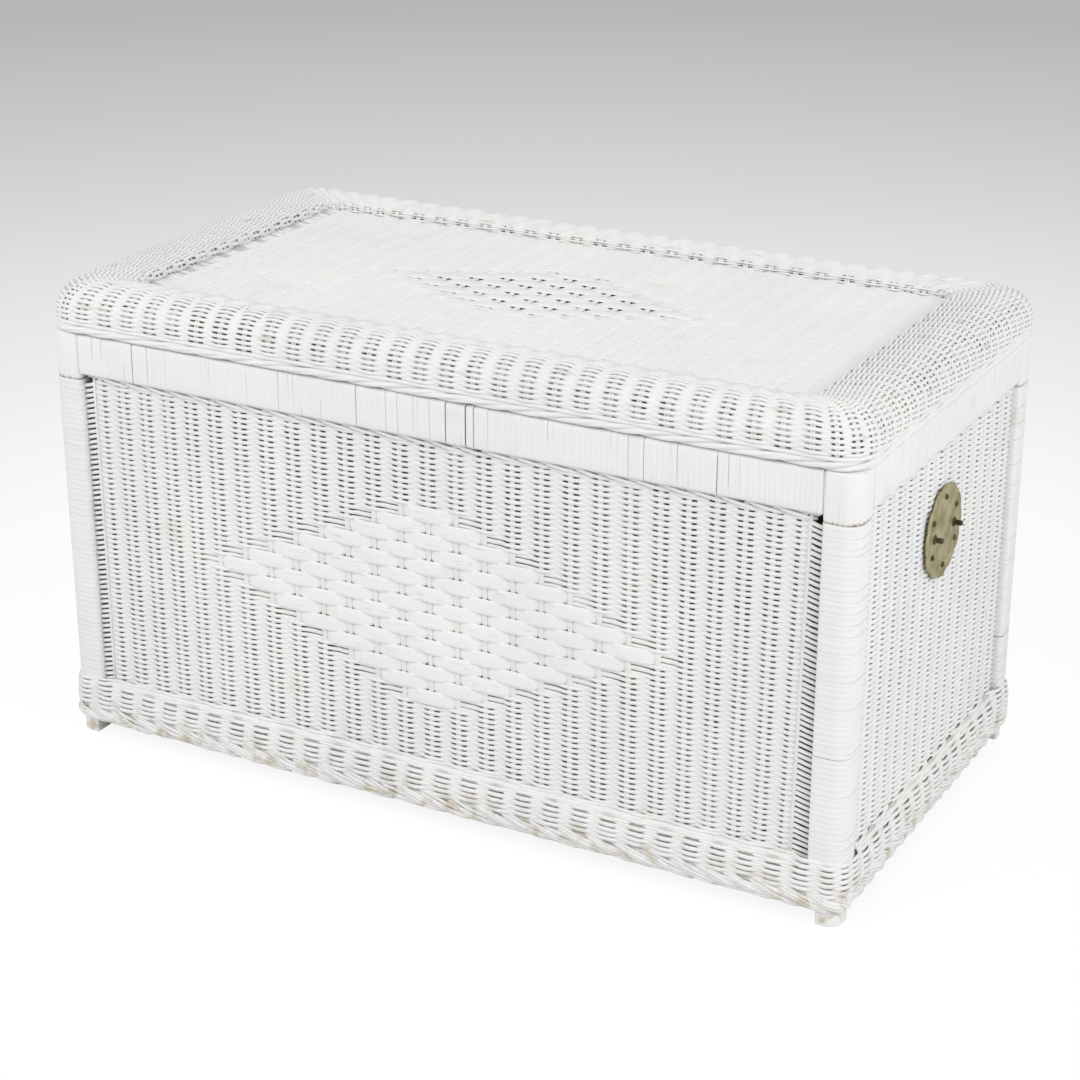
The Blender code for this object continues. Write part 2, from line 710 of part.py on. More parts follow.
def lid_frame():
    """Four bars under the rim, rounded at the outer corners, and two battens that carry the panel."""
    low, high = LID_FRAME_LOW, LID_FRAME_TOP
    out_x, out_y = LID_FRAME_OUT_W, LID_FRAME_OUT_D
    for side, sign in SIDES_Y:
        bar = outline(-out_x, out_x, out_y - LID_FRAME_W, out_y, (0, 0, LID_FRAME_BEND, LID_FRAME_BEND))
        bar = bar if sign > 0 else [(x, -y) for x, y in reversed(bar)]
        on_lid(extruded(f"lid_frame_{side}", [bar], low, high, WOOD, ease=LID_FRAME_EASE))
    reach = out_y - LID_FRAME_W - GAP
    long = out_y - LID_BATTEN_SHORT
    for side, sign in SIDES_X:
        edges = sorted((sign * out_x, sign * (out_x - LID_FRAME_W)))
        bar = box_outline(*edges, -reach, reach)
        on_lid(extruded(f"lid_frame_{side}", [bar], low, high, WOOD, ease=LID_FRAME_EASE))
        middle = sign * (HALF_W - LID_BATTEN_END)
        bar = box_outline(middle - LID_BATTEN_W / 2, middle + LID_BATTEN_W / 2, -long, long)
        under = LID_PANEL_LOW - SEAT
        on_lid(extruded(f"lid_batten_{side}", [bar], high + SEAT, under, WOOD, ease=LID_FRAME_EASE))


def plates():
    """A lobed brass plate on each end with the two studs that carried its bail."""
    loop = []
    for k in range(4 * PLATE_LOBES):
        angle = 2 * math.pi * k / (4 * PLATE_LOBES)
        radius = PLATE_R - PLATE_LOBE * (1 - abs(math.cos(angle * PLATE_LOBES / 2)))
        loop.append((radius * math.cos(angle), PLATE_Z + radius * math.sin(angle)))
    back = HALF_W - PANEL_INSET + SEAT
    front = back + PLATE_T
    for side, sign in SIDES_X:
        low, high = sorted((sign * back, sign * front))
        extruded(f"handle_plate_{side}", [loop], low, high, BRASS, "X", PLATE_EASE)
        for end, along in SIDES_Y:
            profile = [(0, 0), (STUD_FLANGE_R, 0), (STUD_FLANGE_R, STUD_FLANGE_T)]
            profile += [(STUD_R, 2.5 * STUD_FLANGE_T)]
            profile += [(STUD_R, STUD_L - STUD_R * 0.6), (STUD_R * 0.75, STUD_L - STUD_R * 0.2), (0, STUD_L)]
            place = (sign * (front + SEAT), along * STUD_SPREAD, PLATE_Z)
            turned(f"handle_stud_{side}_{end}", profile, place, (sign, 0, 0), DARK_BRASS, 16)


def knuckle(name, low, high, radius, steps=20):
    turns = [2 * math.pi * k / steps for k in range(steps)]
    loop = [(HINGE_Y + radius * math.cos(turn), HINGE_Z + radius * math.sin(turn)) for turn in turns]
    return as_cutter(extruded(name, [loop], low, high, STEEL, "X"))


def leaf(name, middle, low_z, knuckles):
    """A flat leaf with its share of the knuckles, bored for the pin."""
    back = HINGE_Y - LEAF_ROOT
    flat = box_outline(back - LEAF_W, back, low_z, low_z + LEAF_T)
    obj = extruded(name, [flat], middle - HINGE_L / 2, middle + HINGE_L / 2, STEEL, "X")
    free = [(-HINGE_L / 2, HINGE_L / 2)]
    for low, high in knuckles:
        free = cut_span(free, low, high)
    reach = KNUCKLE_R + KNUCKLE_FREE
    for k, (low, high) in enumerate(free):
        wide_low = low - (NOTCH_SIDE if low == -HINGE_L / 2 else GAP)
        wide_high = high + (NOTCH_SIDE if high == HINGE_L / 2 else GAP)
        gap = box_outline(HINGE_Y - reach, HINGE_Y + reach, HINGE_Z - reach, HINGE_Z + reach)
        slot = extruded(f"{name}_slot_{k}", [gap], middle + wide_low, middle + wide_high, STEEL, "X")
        boolean(obj, as_cutter(slot))
    for k, (low, high) in enumerate(knuckles):
        boolean(obj, knuckle(f"{name}_knuckle_{k}", middle + low, middle + high, KNUCKLE_R), "UNION")
    boolean(obj, knuckle(f"{name}_bore", middle - HINGE_L, middle + HINGE_L, BORE_R))
    return obj


def cut_span(spans, low, high):
    """What is left of some spans along the pin once a knuckle has its length."""
    left = []
    for start, end in spans:
        if start < low:
            left.append((start, low))
        if high < end:
            left.append((high, end))
    return left


def hinges():
    """Two butt hinges with three knuckles: the body has the outer two, the lid the middle one."""
    half = HINGE_L / 2
    inner = half - KNUCKLE_END
    for side, sign in SIDES_X:
        middle = sign * HINGE_X
        low_z = RAIL_TOP + SEAT
        high_z = low_z + LEAF_T + LEAF_GAP
        leaf(f"hinge_body_leaf_{side}", middle, low_z, [(-half, -inner), (inner, half)])
        on_lid(leaf(f"hinge_lid_leaf_{side}", middle, high_z, [(-inner + GAP, inner - GAP)]))
        head, low, high = PIN_R + PIN_HEAD, -GAP, HINGE_L + GAP
        profile = [(0, low - PIN_HEAD), (head, low - PIN_HEAD), (head, low), (PIN_R, low), (PIN_R, high)]
        profile += [(head, high), (head, high + PIN_HEAD), (0, high + PIN_HEAD)]
        turned(f"hinge_pin_{side}", profile, (middle - half, HINGE_Y, HINGE_Z), (1, 0, 0), STEEL, 16)


for x_name, x_sign in SIDES_X:
    for y_name, y_sign in SIDES_Y:
        corner(x_name, x_sign, y_name, y_sign)
rails()
walls()
base()
floor()
lid()
diamonds()
plates()
hinges()
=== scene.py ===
import math

import bpy
import numpy as np
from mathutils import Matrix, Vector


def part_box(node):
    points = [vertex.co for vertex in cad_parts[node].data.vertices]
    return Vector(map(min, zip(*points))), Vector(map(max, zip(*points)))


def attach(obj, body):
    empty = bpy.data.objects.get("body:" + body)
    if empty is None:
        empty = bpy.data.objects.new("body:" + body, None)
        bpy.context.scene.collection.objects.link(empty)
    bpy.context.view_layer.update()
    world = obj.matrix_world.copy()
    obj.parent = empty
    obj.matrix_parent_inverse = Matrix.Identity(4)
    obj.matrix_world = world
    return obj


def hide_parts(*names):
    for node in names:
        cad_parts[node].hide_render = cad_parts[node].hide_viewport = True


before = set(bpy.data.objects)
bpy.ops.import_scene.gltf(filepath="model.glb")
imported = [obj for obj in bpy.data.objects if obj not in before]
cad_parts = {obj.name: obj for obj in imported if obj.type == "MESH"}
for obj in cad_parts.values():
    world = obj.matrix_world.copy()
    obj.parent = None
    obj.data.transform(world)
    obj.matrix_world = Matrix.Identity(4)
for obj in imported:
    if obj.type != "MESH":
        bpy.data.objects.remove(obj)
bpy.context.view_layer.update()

dice = np.random.default_rng(11)


def ends_of(node):
    low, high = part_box(node)
    return np.array(low), np.array(high)


# Places read from the frame
panel_low, panel_high = ends_of("wicker_panel_front")
FRONT_Y = (panel_low[1] + panel_high[1]) / 2
PANEL_X = panel_high[0]
PANEL_FOOT = panel_low[2]
PANEL_TOP = panel_high[2]
end_low, end_high = ends_of("wicker_panel_right")
END_X = (end_low[0] + end_high[0]) / 2
PANEL_Y = end_high[1]
diamond_low, diamond_high = ends_of("front_diamond")
FRONT_DIAMOND_Z = (diamond_low[2] + diamond_high[2]) / 2
post_low, post_high = ends_of("post_winding_back_right")
wrap_low, wrap_high = ends_of("corner_wrap_back_right")
border_low, border_high = ends_of("base_border")
rope_low, rope_high = ends_of("base_rope")
rim_low, rim_high = ends_of("lid_rim")
edge_low, edge_high = ends_of("lid_edge")
lid_low, lid_high = ends_of("lid_panel")
LID_Z = (lid_low[2] + lid_high[2]) / 2
plate_low, plate_high = ends_of("handle_plate_right")
hinge_low, hinge_high = ends_of("hinge_lid_leaf_right")

# Weave sizes
STRIP = 0.0142
ROWS_PER_STRIP = 5
ROW = STRIP / ROWS_PER_STRIP
REED = 0.00183
REED_DEPTH = 0.88 * REED
LIFT = 0.0021
RAISED = 0.0008
MIDDLE_PITCH = 0.0315
FRONT_REACH = 8
SIDE_STAKES = 5
LAST_STAKE = 0.019
BACK_STAKES = 27
END_STAKES = 15
END_LAST = 0.013
LADDER = 0.012
LADDER_FALL = 0.0035
LID_STAKES = 25
LID_LAST = 0.018
LID_UNDER_LIP = 0.008
LID_RAISED = 0.0012
LID_LIFT = 0.0016
FRONT_DIAMOND = (8, 7)
LID_DIAMOND = (6, 5)

edge_reeds = np.array([-1, 1]) * (PANEL_X - LADDER)
lid_reach = lid_high - LID_UNDER_LIP

# A pair of stakes: (half the gap, half a reed, how far forward)
WALL_STAKE = (0.0011, 0.0018, 0.0006)
EDGE_STAKE = (0.0, 0.0014, 0.0016)
LID_STAKE = (0.0013, 0.0015, 0.0008)
STAKE_FOOT = PANEL_FOOT - 0.004

# A splint: (half its width, level, rise, lowest share seen, how far it is drawn in under a stake)
FRONT_SPLINT = (0.0084, 0.0008, 0.0022, -0.48, 0.0052)
LID_SPLINT = (0.0080, 0.0005, 0.0015, -1.1, 0.0040)
SPLINT_END = 0.007
SPLINT_THICK = 0.0008

# Lid rim sizes
LID_CORNER = 0.036
RIM_SKIN = 0.0042
RIM_WALL = 0.0087
CREST_IN = 0.034
RIM_DIP = 0.004
RIM_LIP = 0.007
RIM_LONG = 0.063
RIM_END = 0.082
RIM_BEND = 0.008
RIM_STAKES = (29, 3, 21, 3)
RIM_EVEN = 0.30 / 0.42

# Finish tones, and the heights between which paint is soiled
NEAR_FLOOR = (0.008, 0.070)
WHITE_COOL = (0.785, 0.795, 0.80, 1)
WHITE_WARM = (0.84, 0.835, 0.82, 1)
# Painted shade and grime: the dark tone laid into recesses, grooves and holes
SHADE_AND_GRIME = (0.080, 0.076, 0.046, 1)
WORN = (0.34, 0.23, 0.11, 1)
STAIN = (0.50, 0.42, 0.27, 1)
STREAK = (0.42, 0.41, 0.37, 1)
BARE_REED = (0.40, 0.28, 0.15, 1)
WOOD = ((0.50, 0.36, 0.20, 1), (0.37, 0.25, 0.13, 1))
BOARD = ((0.44, 0.31, 0.18, 1), (0.35, 0.23, 0.12, 1))
BRASS = ((0.44, 0.38, 0.225, 1), (0.25, 0.23, 0.108, 1))
DARK_BRASS = ((0.095, 0.075, 0.040, 1), (0.040, 0.034, 0.018, 1))
STEEL = ((0.46, 0.37, 0.20, 1), (0.30, 0.24, 0.13, 1))
SCREW_STEEL = ((0.26, 0.22, 0.15, 1), (0.15, 0.12, 0.08, 1))


def unit(v):
    return v / np.maximum(np.linalg.norm(v, axis=-1, keepdims=True), 1e-12)


def smooth(low, high, value):
    t = np.clip((value - low) / (high - low), 0, 1)
    return t * t * (3 - 2 * t)


def uneven(shape, amount, least, most):
    """Sizes about 1."""
    return np.clip(1 + amount * dice.standard_normal(shape), least, most)


# Sections of a strand: x across it, y outward
FULLER = 1.04
FLAT = [(1, 0), (0.96, 0.6), (0.6, 0.93), (0, 1), (-0.6, 0.93), (-0.96, 0.6), (-1, 0)]
FLAT = np.array(FLAT + [(-0.94, -0.6), (0, -0.6), (0.94, -0.6)])


def circle(sides):
    """A round section, a little fuller to make up for its flat sides."""
    turn = np.arange(sides) * 2 * math.pi / sides + math.pi / 2
    return np.stack([np.cos(turn), np.sin(turn)], 1) * FULLER


ROUND_REED = circle(sides=6)


class Strands:
    """Strands of one section gathered into one piece."""

    def __init__(self, section=ROUND_REED):
        self.section = section
        self.kept = {}
        self.corners = 0
        self.count = 0

    def add(self, path, out, wide, deep, crevice=0.0, closed=False, worn=0.0):
        """One strand, or several of the same length. wide and deep are half sizes."""
        path = np.asarray(path, float)
        if path.ndim == 2:
            path = path[None]
        if closed:
            run = np.roll(path, -1, 1) - np.roll(path, 1, 1)
        else:
            run = np.gradient(path, axis=1)
        run = unit(run)
        side = unit(np.cross(run, np.broadcast_to(out, path.shape)))
        face = np.cross(side, run)
        wide, deep, crevice, worn = (
            np.broadcast_to(value, path.shape[:2])[..., None] for value in (wide, deep, crevice, worn)
        )
        rings = path[:, :, None] + side[:, :, None] * (self.section[:, :1] * wide[..., None])
        rings = rings + face[:, :, None] * (self.section[:, 1:] * deep[..., None])
        inward = np.clip(self.section[:, 1] / self.section[:, 1].min(), 0, 1)
        self.keep(rings, closed, crevice=crevice * (1 - inward), inner=inward, worn=worn)

    def keep(self, rings, closed=False, turned=False, **marks):
        """Skins and caps the rings of each strand. Faces are turned where rings run the other way."""
        m, n, k = rings.shape[:3]
        index = self.corners + np.arange(m * n * k).reshape(m, n, k)
        near = index if closed else index[:, :-1]
        far = np.roll(index, -1, 1) if closed else index[:, 1:]
        quads = np.stack([near, far, np.roll(far, -1, 2), np.roll(near, -1, 2)], -1)
        steps = near.shape[1]
        u = 0.01 + 0.98 * np.arange(steps + 1) / steps
        v = (self.count + np.arange(m))[:, None] + 0.05 + 0.9 * np.arange(k + 1) / k
        quad_uv = np.empty(quads.shape + (2,))
        quad_uv[..., (0, 3), 0] = u[:-1, None, None]
        quad_uv[..., (1, 2), 0] = u[1:, None, None]
        quad_uv[..., (0, 1), 1] = v[:, None, :-1, None]
        quad_uv[..., (2, 3), 1] = v[:, None, 1:, None]
        caps = np.stack([index[:, 0], index[:, -1, ::-1]])
        cap_v = np.stack([v[:, :-1], v[:, -2::-1]])
        cap_uv = np.stack([np.broadcast_to(u[[0, -1], None, None], cap_v.shape), cap_v], -1)
        if turned:
            quads, quad_uv = quads[..., ::-1], quad_uv[..., ::-1, :]
            caps, cap_uv = caps[..., ::-1], cap_uv[..., ::-1, :]
        kept = {mark: np.broadcast_to(values, (m, n, k)).ravel() for mark, values in marks.items()}
        kept.update(points=rings.reshape(-1, 3), quads=quads.reshape(-1, 4), quad_uv=quad_uv.reshape(-1, 2))
        if not closed:
            kept.update(caps=caps.reshape(-1, k), cap_uv=cap_uv.reshape(-1, 2))
        for part, values in kept.items():
            self.kept.setdefault(part, []).append(values)
        self.corners += m * n * k
        self.count += m

    def settle(self, name, finish, body, *nodes, slot="painted_reed"):
        """Makes the piece, smooth, with the marks that its finish reads. It stands in for the nodes."""
        kept = {part: np.concatenate(values) for part, values in self.kept.items()}
        points, quads = kept["points"], kept["quads"]
        caps = kept.get("caps", np.empty((0, 1), int))
        loops = np.concatenate([quads.ravel(), caps.ravel()])
        totals = np.concatenate([np.full(len(quads), 4), np.full(len(caps), caps.shape[1])])
        starts = np.concatenate([[0], np.cumsum(totals)[:-1]])
        uv = np.concatenate([kept["quad_uv"], kept.get("cap_uv", np.empty((0, 2)))])
        uv[:, 1] /= self.count
        mesh = bpy.data.meshes.new(name)
        mesh.vertices.add(len(points))
        mesh.vertices.foreach_set("co", points.astype(np.float32).ravel())
        mesh.loops.add(len(loops))
        mesh.loops.foreach_set("vertex_index", loops.astype(np.int32))
        mesh.polygons.add(len(totals))
        mesh.polygons.foreach_set("loop_start", starts.astype(np.int32))
        mesh.update(calc_edges=True)
        mesh.shade_smooth()
        mesh.uv_layers.new(name="OFBake").data.foreach_set("uv", uv.astype(np.float32).ravel())
        for mark in ("crevice", "inner", "worn"):
            layer = mesh.attributes.new(mark, "FLOAT", "POINT")
            layer.data.foreach_set("value", kept[mark].astype(np.float32))
        mesh.materials.append(finish)
        piece = bpy.data.objects.new(name, mesh)
        bpy.context.scene.collection.objects.link(piece)
        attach(piece, body)
        if nodes:
            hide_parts(*nodes)


class Skin:
    """Rings of points that become one closed skin on the chest."""

    def __init__(self):
        self.rings = []

    def ring(self, x, y, z, hole=0.0):
        self.rings.append(np.stack(np.broadcast_arrays(x, y, z, hole), -1))

    def settle(self, name, finish, node, slot="wound_cane", worn=0.0):
        rings = np.array(self.rings)
        holes = rings[..., 3]
        rings = rings[..., :3]
        from_middle = rings - rings.mean((0, 1))
        a, b = from_middle[:-1], from_middle[1:]
        c, d = np.roll(b, -1, 1), np.roll(a, -1, 1)
        volume = (a * np.cross(b, c)).sum() + (a * np.cross(c, d)).sum()
        made = Strands()
        made.keep(rings[None], turned=volume < 0, crevice=holes, inner=0.0, worn=worn)
        made.settle(name, finish, "chest", node, slot=slot)


# Finishes
def blank(name):
    made = bpy.data.materials.new(name)
    made.use_nodes = True
    return made, made.node_tree


def wired(tree, made, sockets):
    """Links each socket to another node's output, or sets its value."""
    for socket, value in sockets.items():
        if isinstance(value, bpy.types.NodeSocket):
            tree.links.new(value, made.inputs[socket])
        else:
            made.inputs[socket].default_value = value


def new_node(tree, kind, output, sockets, **settings):
    made = tree.nodes.new(kind)
    for setting, value in settings.items():
        setattr(made, setting, value)
    wired(tree, made, sockets)
    return made.outputs[output]


def noise(tree, vector, scale, detail):
    sockets = {"Vector": vector, "Scale": scale, "Detail": detail}
    return new_node(tree, "ShaderNodeTexNoise", "Fac", sockets)


def ramp(tree, value, *stops):
    """A colour for each value. A stop is (place, colour)."""
    made = tree.nodes.new("ShaderNodeValToRGB")
    elements = made.color_ramp.elements
    while len(elements) < len(stops):
        elements.new(0.5)
    for element, (place, tone) in zip(elements, stops):
        element.position = place
        element.color = tone
    wired(tree, made, {"Fac": value})
    return made.outputs["Color"]


def spread(tree, value, low, high, to_low=0.0, to_high=1.0):
    sockets = {"Value": value, "From Min": low, "From Max": high, "To Min": to_low, "To Max": to_high}
    return new_node(tree, "ShaderNodeMapRange", "Result", sockets, interpolation_type="SMOOTHSTEP")


def blended(tree, share, first, second):
    sockets = {"Factor": share, 6: first, 7: second}
    return new_node(tree, "ShaderNodeMix", 2, sockets, data_type="RGBA")


def marked(tree, mark):
    return new_node(tree, "ShaderNodeAttribute", "Fac", {}, attribute_name=mark)


def stretched(tree, vector, scale):
    return new_node(tree, "ShaderNodeMapping", "Vector", {"Vector": vector, "Scale": scale})


def place_of(tree):
    return new_node(tree, "ShaderNodeTexCoord", "Object", {})


def by_ray(tree, lit, seen):
    """One value for the camera's own rays, another for the light that goes round."""
    ray = new_node(tree, "ShaderNodeLightPath", "Is Camera Ray", {})
    sockets = {"Value": ray, "To Min": lit, "To Max": seen}
    return new_node(tree, "ShaderNodeMapRange", "Result", sockets)


def coated(made, tone, height, strength, distance, **values):
    """The material with its tone, its bump and plain values, named as their sockets are."""
    tree = made.node_tree
    bump = {"Height": height, "Strength": strength, "Distance": distance}
    normal = new_node(tree, "ShaderNodeBump", "Normal", bump)
    shader = tree.nodes["Principled BSDF"]
    wired(tree, shader, {"Base Color": tone, "Normal": normal, **values})
    return made


def paint(name, along, bare=True, lines=0.12, fine=340.0, whitened=1.0, ridge=0.2):
    """Old white paint on reed.

    It is a little uneven, yellowed in places, soiled near the floor, with painted shade and grime in the
    crevices."""
    made, tree = blank(name)
    place = place_of(tree)
    cool, warm = ([min(c * whitened, 1.0) for c in white] for white in (WHITE_COOL, WHITE_WARM))
    tone = ramp(tree, noise(tree, place, 7.0, 3.0), (0.32, cool), (0.68, warm))
    grain = noise(tree, stretched(tree, place, along), fine, 3.0)
    spots = noise(tree, place, 21.0, 5.0)
    tone = blended(tree, spread(tree, spots, 0.62, 0.80, 0.0, 0.22), tone, STAIN)
    height = new_node(tree, "ShaderNodeSeparateXYZ", "Z", {"Vector": place})
    soil = noise(tree, place, 58.0, 4.0)
    soil = {0: spread(tree, height, *NEAR_FLOOR, 1.0, 0.0), 1: spread(tree, soil, 0.48, 0.68, 0.0, 0.80)}
    soiled = new_node(tree, "ShaderNodeMath", "Value", soil, operation="MULTIPLY")
    tone = blended(tree, soiled, tone, STAIN)
    tone = blended(tree, spread(tree, grain, 0.58, 0.80, 0.0, lines), tone, STREAK)
    tone = blended(tree, spread(tree, marked(tree, "worn"), 0.0, 1.0), tone, WORN)
    if bare:
        tone = blended(tree, spread(tree, marked(tree, "inner"), 0.45, 0.8), tone, BARE_REED)
    # Painted shade and grime: darkens the recesses, grooves and holes that each piece marks
    tone = blended(tree, spread(tree, marked(tree, "crevice"), 0.42, 0.80), tone, SHADE_AND_GRIME)
    gloss = {"Roughness": 0.5, "Specular IOR Level": 0.3}
    return coated(made, tone, grain, ridge, 0.0003, **gloss)


def timber(name, tones, along):
    made, tree = blank(name)
    bands = noise(tree, stretched(tree, place_of(tree), along), 60.0, 4.0)
    tone = ramp(tree, bands, (0.35, tones[1]), (0.65, tones[0]))
    return coated(made, tone, bands, 0.2, 0.0005, Roughness=0.6)


def metal(name, tones, share, rough, mottling=85.0):
    made, tree = blank(name)
    mottle = noise(tree, place_of(tree), mottling, 5.0)
    tone = ramp(tree, mottle, (0.38, tones[1]), (0.62, tones[0]))
    return coated(made, tone, mottle, 0.15, 0.0003, Metallic=share, Roughness=rough)


ALONG_X = (0.06, 1, 1)
ALONG_Y = (1, 0.06, 1)
ALONG_Z = (1, 1, 0.06)
paint_x = paint("painted_reed_x", ALONG_X)
paint_y = paint("painted_reed_y", ALONG_Y)
paint_z = paint("painted_reed_z", ALONG_Z)
cane_flat = paint("wound_cane_flat", ALONG_X, bare=False)
cane_up = paint("wound_cane_up", ALONG_Z, bare=False)
splint_paint = paint("flat_splint", ALONG_X, lines=0.60, fine=700.0, whitened=1.02, ridge=0.6)
# Painted light: the lid's splints are whitened to offset the shade they sit in
lid_splint_paint = paint("flat_splint_lid", ALONG_X, lines=0.08, whitened=1.06)
foot_paint = paint("painted_wood", ALONG_Z, bare=False)
frame_wood_x = timber("frame_wood_x", WOOD, (0.05, 1, 1))
frame_wood_y = timber("frame_wood_y", WOOD, (1, 0.05, 1))
board = timber("floor_board", BOARD, (0.08, 0.5, 1))
brass = metal("plate_brass", BRASS, share=0.35, rough=0.5, mottling=60.0)
stud = metal("stud_brass", DARK_BRASS, share=0.45, rough=0.5)
steel = metal("hinge_steel", STEEL, share=0.9, rough=0.38)
screw_steel = metal("screw_steel", SCREW_STEEL, share=0.8, rough=0.42)


def settle_parts(made, name, finish, body, node):
    """Numbered pieces. The first stands in for the node."""
    for number, strands in enumerate(made, 1):
        strands.settle(f"{name}_{number}", finish, body, *((node,) if number == 1 else ()))


# Panels of over and under weave
class Plane:
    """A flat panel: along its rows, up its stakes, out to the side that is seen."""

    def __init__(self, origin, along, up, out):
        self.origin, self.along, self.up, self.out = np.array([origin, along, up, out], float)

    def at(self, u, v, n):
        u, v, n = np.broadcast_arrays(u, v, n)
        flat = u[..., None] * self.along + v[..., None] * self.up
        return self.origin + flat + n[..., None] * self.out


def strayed(u, v):
    """How far a row strays from its level; neighbours stray alike, so they never cross."""
    wide = 0.0005 * np.sin(7.3 * u + 9.0 * v + 0.6) + 0.00035 * np.sin(23.0 * u - 4.0 * v)
    return wide + 0.0002 * np.sin(61.0 * u + 17.0 * v)


# Places from one stake to the next, and how a row falls there from 1 in front to 0 halfway
ALONG_GAP = np.array([0, 0.10, 0.24, 0.35, 0.5, 0.65, 0.76, 0.90])
CROSSING = np.array([1.0, 0.95, 0.62, 0.14, 0.0])
RETURN = CROSSING[-2:0:-1]
WAVE = np.concatenate([CROSSING, -RETURN])
LEAN = 0.007
LEAN_FROM = 0.30


def leaning(plane, u, v):
    """The last stakes by the right front post lean away from it towards the floor."""
    if plane.out[1] > -0.5:
        return np.zeros(np.broadcast(u, v).shape)
    fall = np.clip((PANEL_TOP - v) / (PANEL_TOP - PANEL_FOOT), 0, 1)
    near = np.clip((u - LEAN_FROM) / (edge_reeds[1] - LEAN_FROM), 0, 1)
    past = np.clip((PANEL_X - u) / LADDER, 0, 1)
    return -LEAN * fall * near * past


def run_of(stakes, signs, low_tail, high_tail):
    """Places along a row, and its height there, from 1 over a stake to -1 behind it.

    A tail is a list of (distance past the end stake, height)."""
    us = [stakes[0] - d for d, h in reversed(low_tail)]
    hs = [h for d, h in reversed(low_tail)]
    for start, stop, a, b in zip(stakes[:-1], stakes[1:], signs[:-1], signs[1:]):
        us += list(start + (stop - start) * ALONG_GAP)
        hs += [*(a * CROSSING), *(b * RETURN)] if a * b < 0 else list(a + (b - a) * ALONG_GAP)
    us += [stakes[-1], *(stakes[-1] + d for d, h in high_tail)]
    hs += [signs[-1], *(h for d, h in high_tail)]
    return np.array(us), np.array(hs)


def reed_height(hs, half):
    """Half the height of a painted reed: broad where it lies in front, thinner behind."""
    crossing = np.clip(1 - np.abs(hs), 0, 1) ** 2
    return half * (1 + 0.10 * np.clip(hs, 0, 1) - 0.22 * np.clip(-hs, 0, 1) + 0.34 * crossing)


def hole_shade_spread(u, v):
    """How strongly the painted shade and grime in the holes shows, as far as paint has left them open; it
    changes slowly over a panel.
    """
    wide = 0.17 * np.sin(13.1 * u + 7.7 * v) + 0.14 * np.sin(31.7 * u - 11.3 * v + 2.0)
    return 0.90 + wide + 0.10 * np.sin(71.0 * u + 23.0 * v)


# Painted shade and grime at the row ends under the lid's lip: (where they start and end, from the end of
# the row), how dark, how often
LID_MARKS = (0.016, 0.010)
LID_MARK_TONES = (0.0, 0.50, 0.58)
LID_MARK_SHARES = (0.6, 0.2, 0.2)


def lay(strands, plane, us, hs, level, lift, shade_strength, weak):
    """One row of round reed, with painted shade and grime where it goes behind a stake. weak lightens that
    on the far side of each stake.
    """
    n = len(us)
    u = us + dice.normal(0, 0.0004, n)
    v = level + strayed(us, level) + dice.normal(0, 0.00012, n)
    out = hs * lift * uneven(n, 0.10, 0.75, 1.12)
    tall = reed_height(hs, REED) * (1 + 0.03 * dice.standard_normal())
    # Painted shade and grime where the row goes behind a stake
    hole = smooth(0.05, 0.50, -hs) * dice.uniform(0.75, 1.05, n) * shade_strength
    rising = np.gradient(hs) > 0
    hole = hole * np.where(rising, weak, 1.0) * hole_shade_spread(us, level)
    u = u + leaning(plane, u, v)
    if abs(plane.out[1]) > 0.5:
        across = np.clip((np.abs(us) - edge_reeds[1]) / LADDER, 0, 1)
        v = v - LADDER_FALL * across
        tall = tall * (1 - 0.07 * smooth(0.0, 0.3, across))
    # Painted shade and grime under the lid's lip, at the left end of the lid's rows
    if plane.out[2] > 0.5:
        ends = smooth(LID_MARKS[0] - lid_reach[0], LID_MARKS[1] - lid_reach[0], us)
        hole = np.maximum(hole, ends * dice.choice(LID_MARK_TONES, p=LID_MARK_SHARES))
    strands.add(plane.at(u, v, out), plane.out, tall, REED_DEPTH, hole)


def stand(strands, plane, stakes, foot, top, apart, half, forward, steps=10):
    """Paired upright reeds, one to each side of every stake place."""
    v = np.linspace(foot, top, steps)[None]
    for side in (-apart, apart):
        u = np.asarray(stakes)[:, None] + side + dice.normal(0, 0.00015, (len(stakes), steps))
        strands.add(plane.at(u + leaning(plane, u, v), v, forward), plane.out, half, half)


# A strand under the rail: (share of the gap between stakes, drop, how far out)
TOP_STRAND = (
    (-0.25, 0.0010, -0.0020),
    (0.0, 0.0009, 0.0012),
    (0.35, 0.0023, 0.0036),
    (0.75, 0.0045, 0.0038),
    (1.15, 0.0061, 0.0022),
    (1.4, 0.0066, -0.0015),
)
TOP_REED = 0.0018
TOP_ROUND = 0.0006


def top_row(strands, plane, stakes, top):
    """Long strands under the rail, each dropping away to the right until the next one starts."""
    gap = np.diff(stakes)
    share, drop, out = np.array(TOP_STRAND).T
    u = stakes[:-1, None] + gap[:, None] * share
    v = top - drop + dice.normal(0, 0.0002, u.shape)
    strands.add(plane.at(u, v, out), plane.out, TOP_REED, TOP_REED)
    # A round just under the rail, darkened in patches with painted shade and grime where the rail shades
    # the weave
    u = np.linspace(stakes[0] - gap[0] / 2, stakes[-1] + gap[-1] / 2, 4 * len(stakes))
    dark = 0.25 + 0.5 * np.clip(np.sin(41 * u) + np.sin(97 * u + 1), 0, 1) * dice.random(len(u))
    strands.add(plane.at(u, top - TOP_REED, TOP_ROUND), plane.out, TOP_REED, TOP_REED, dark)


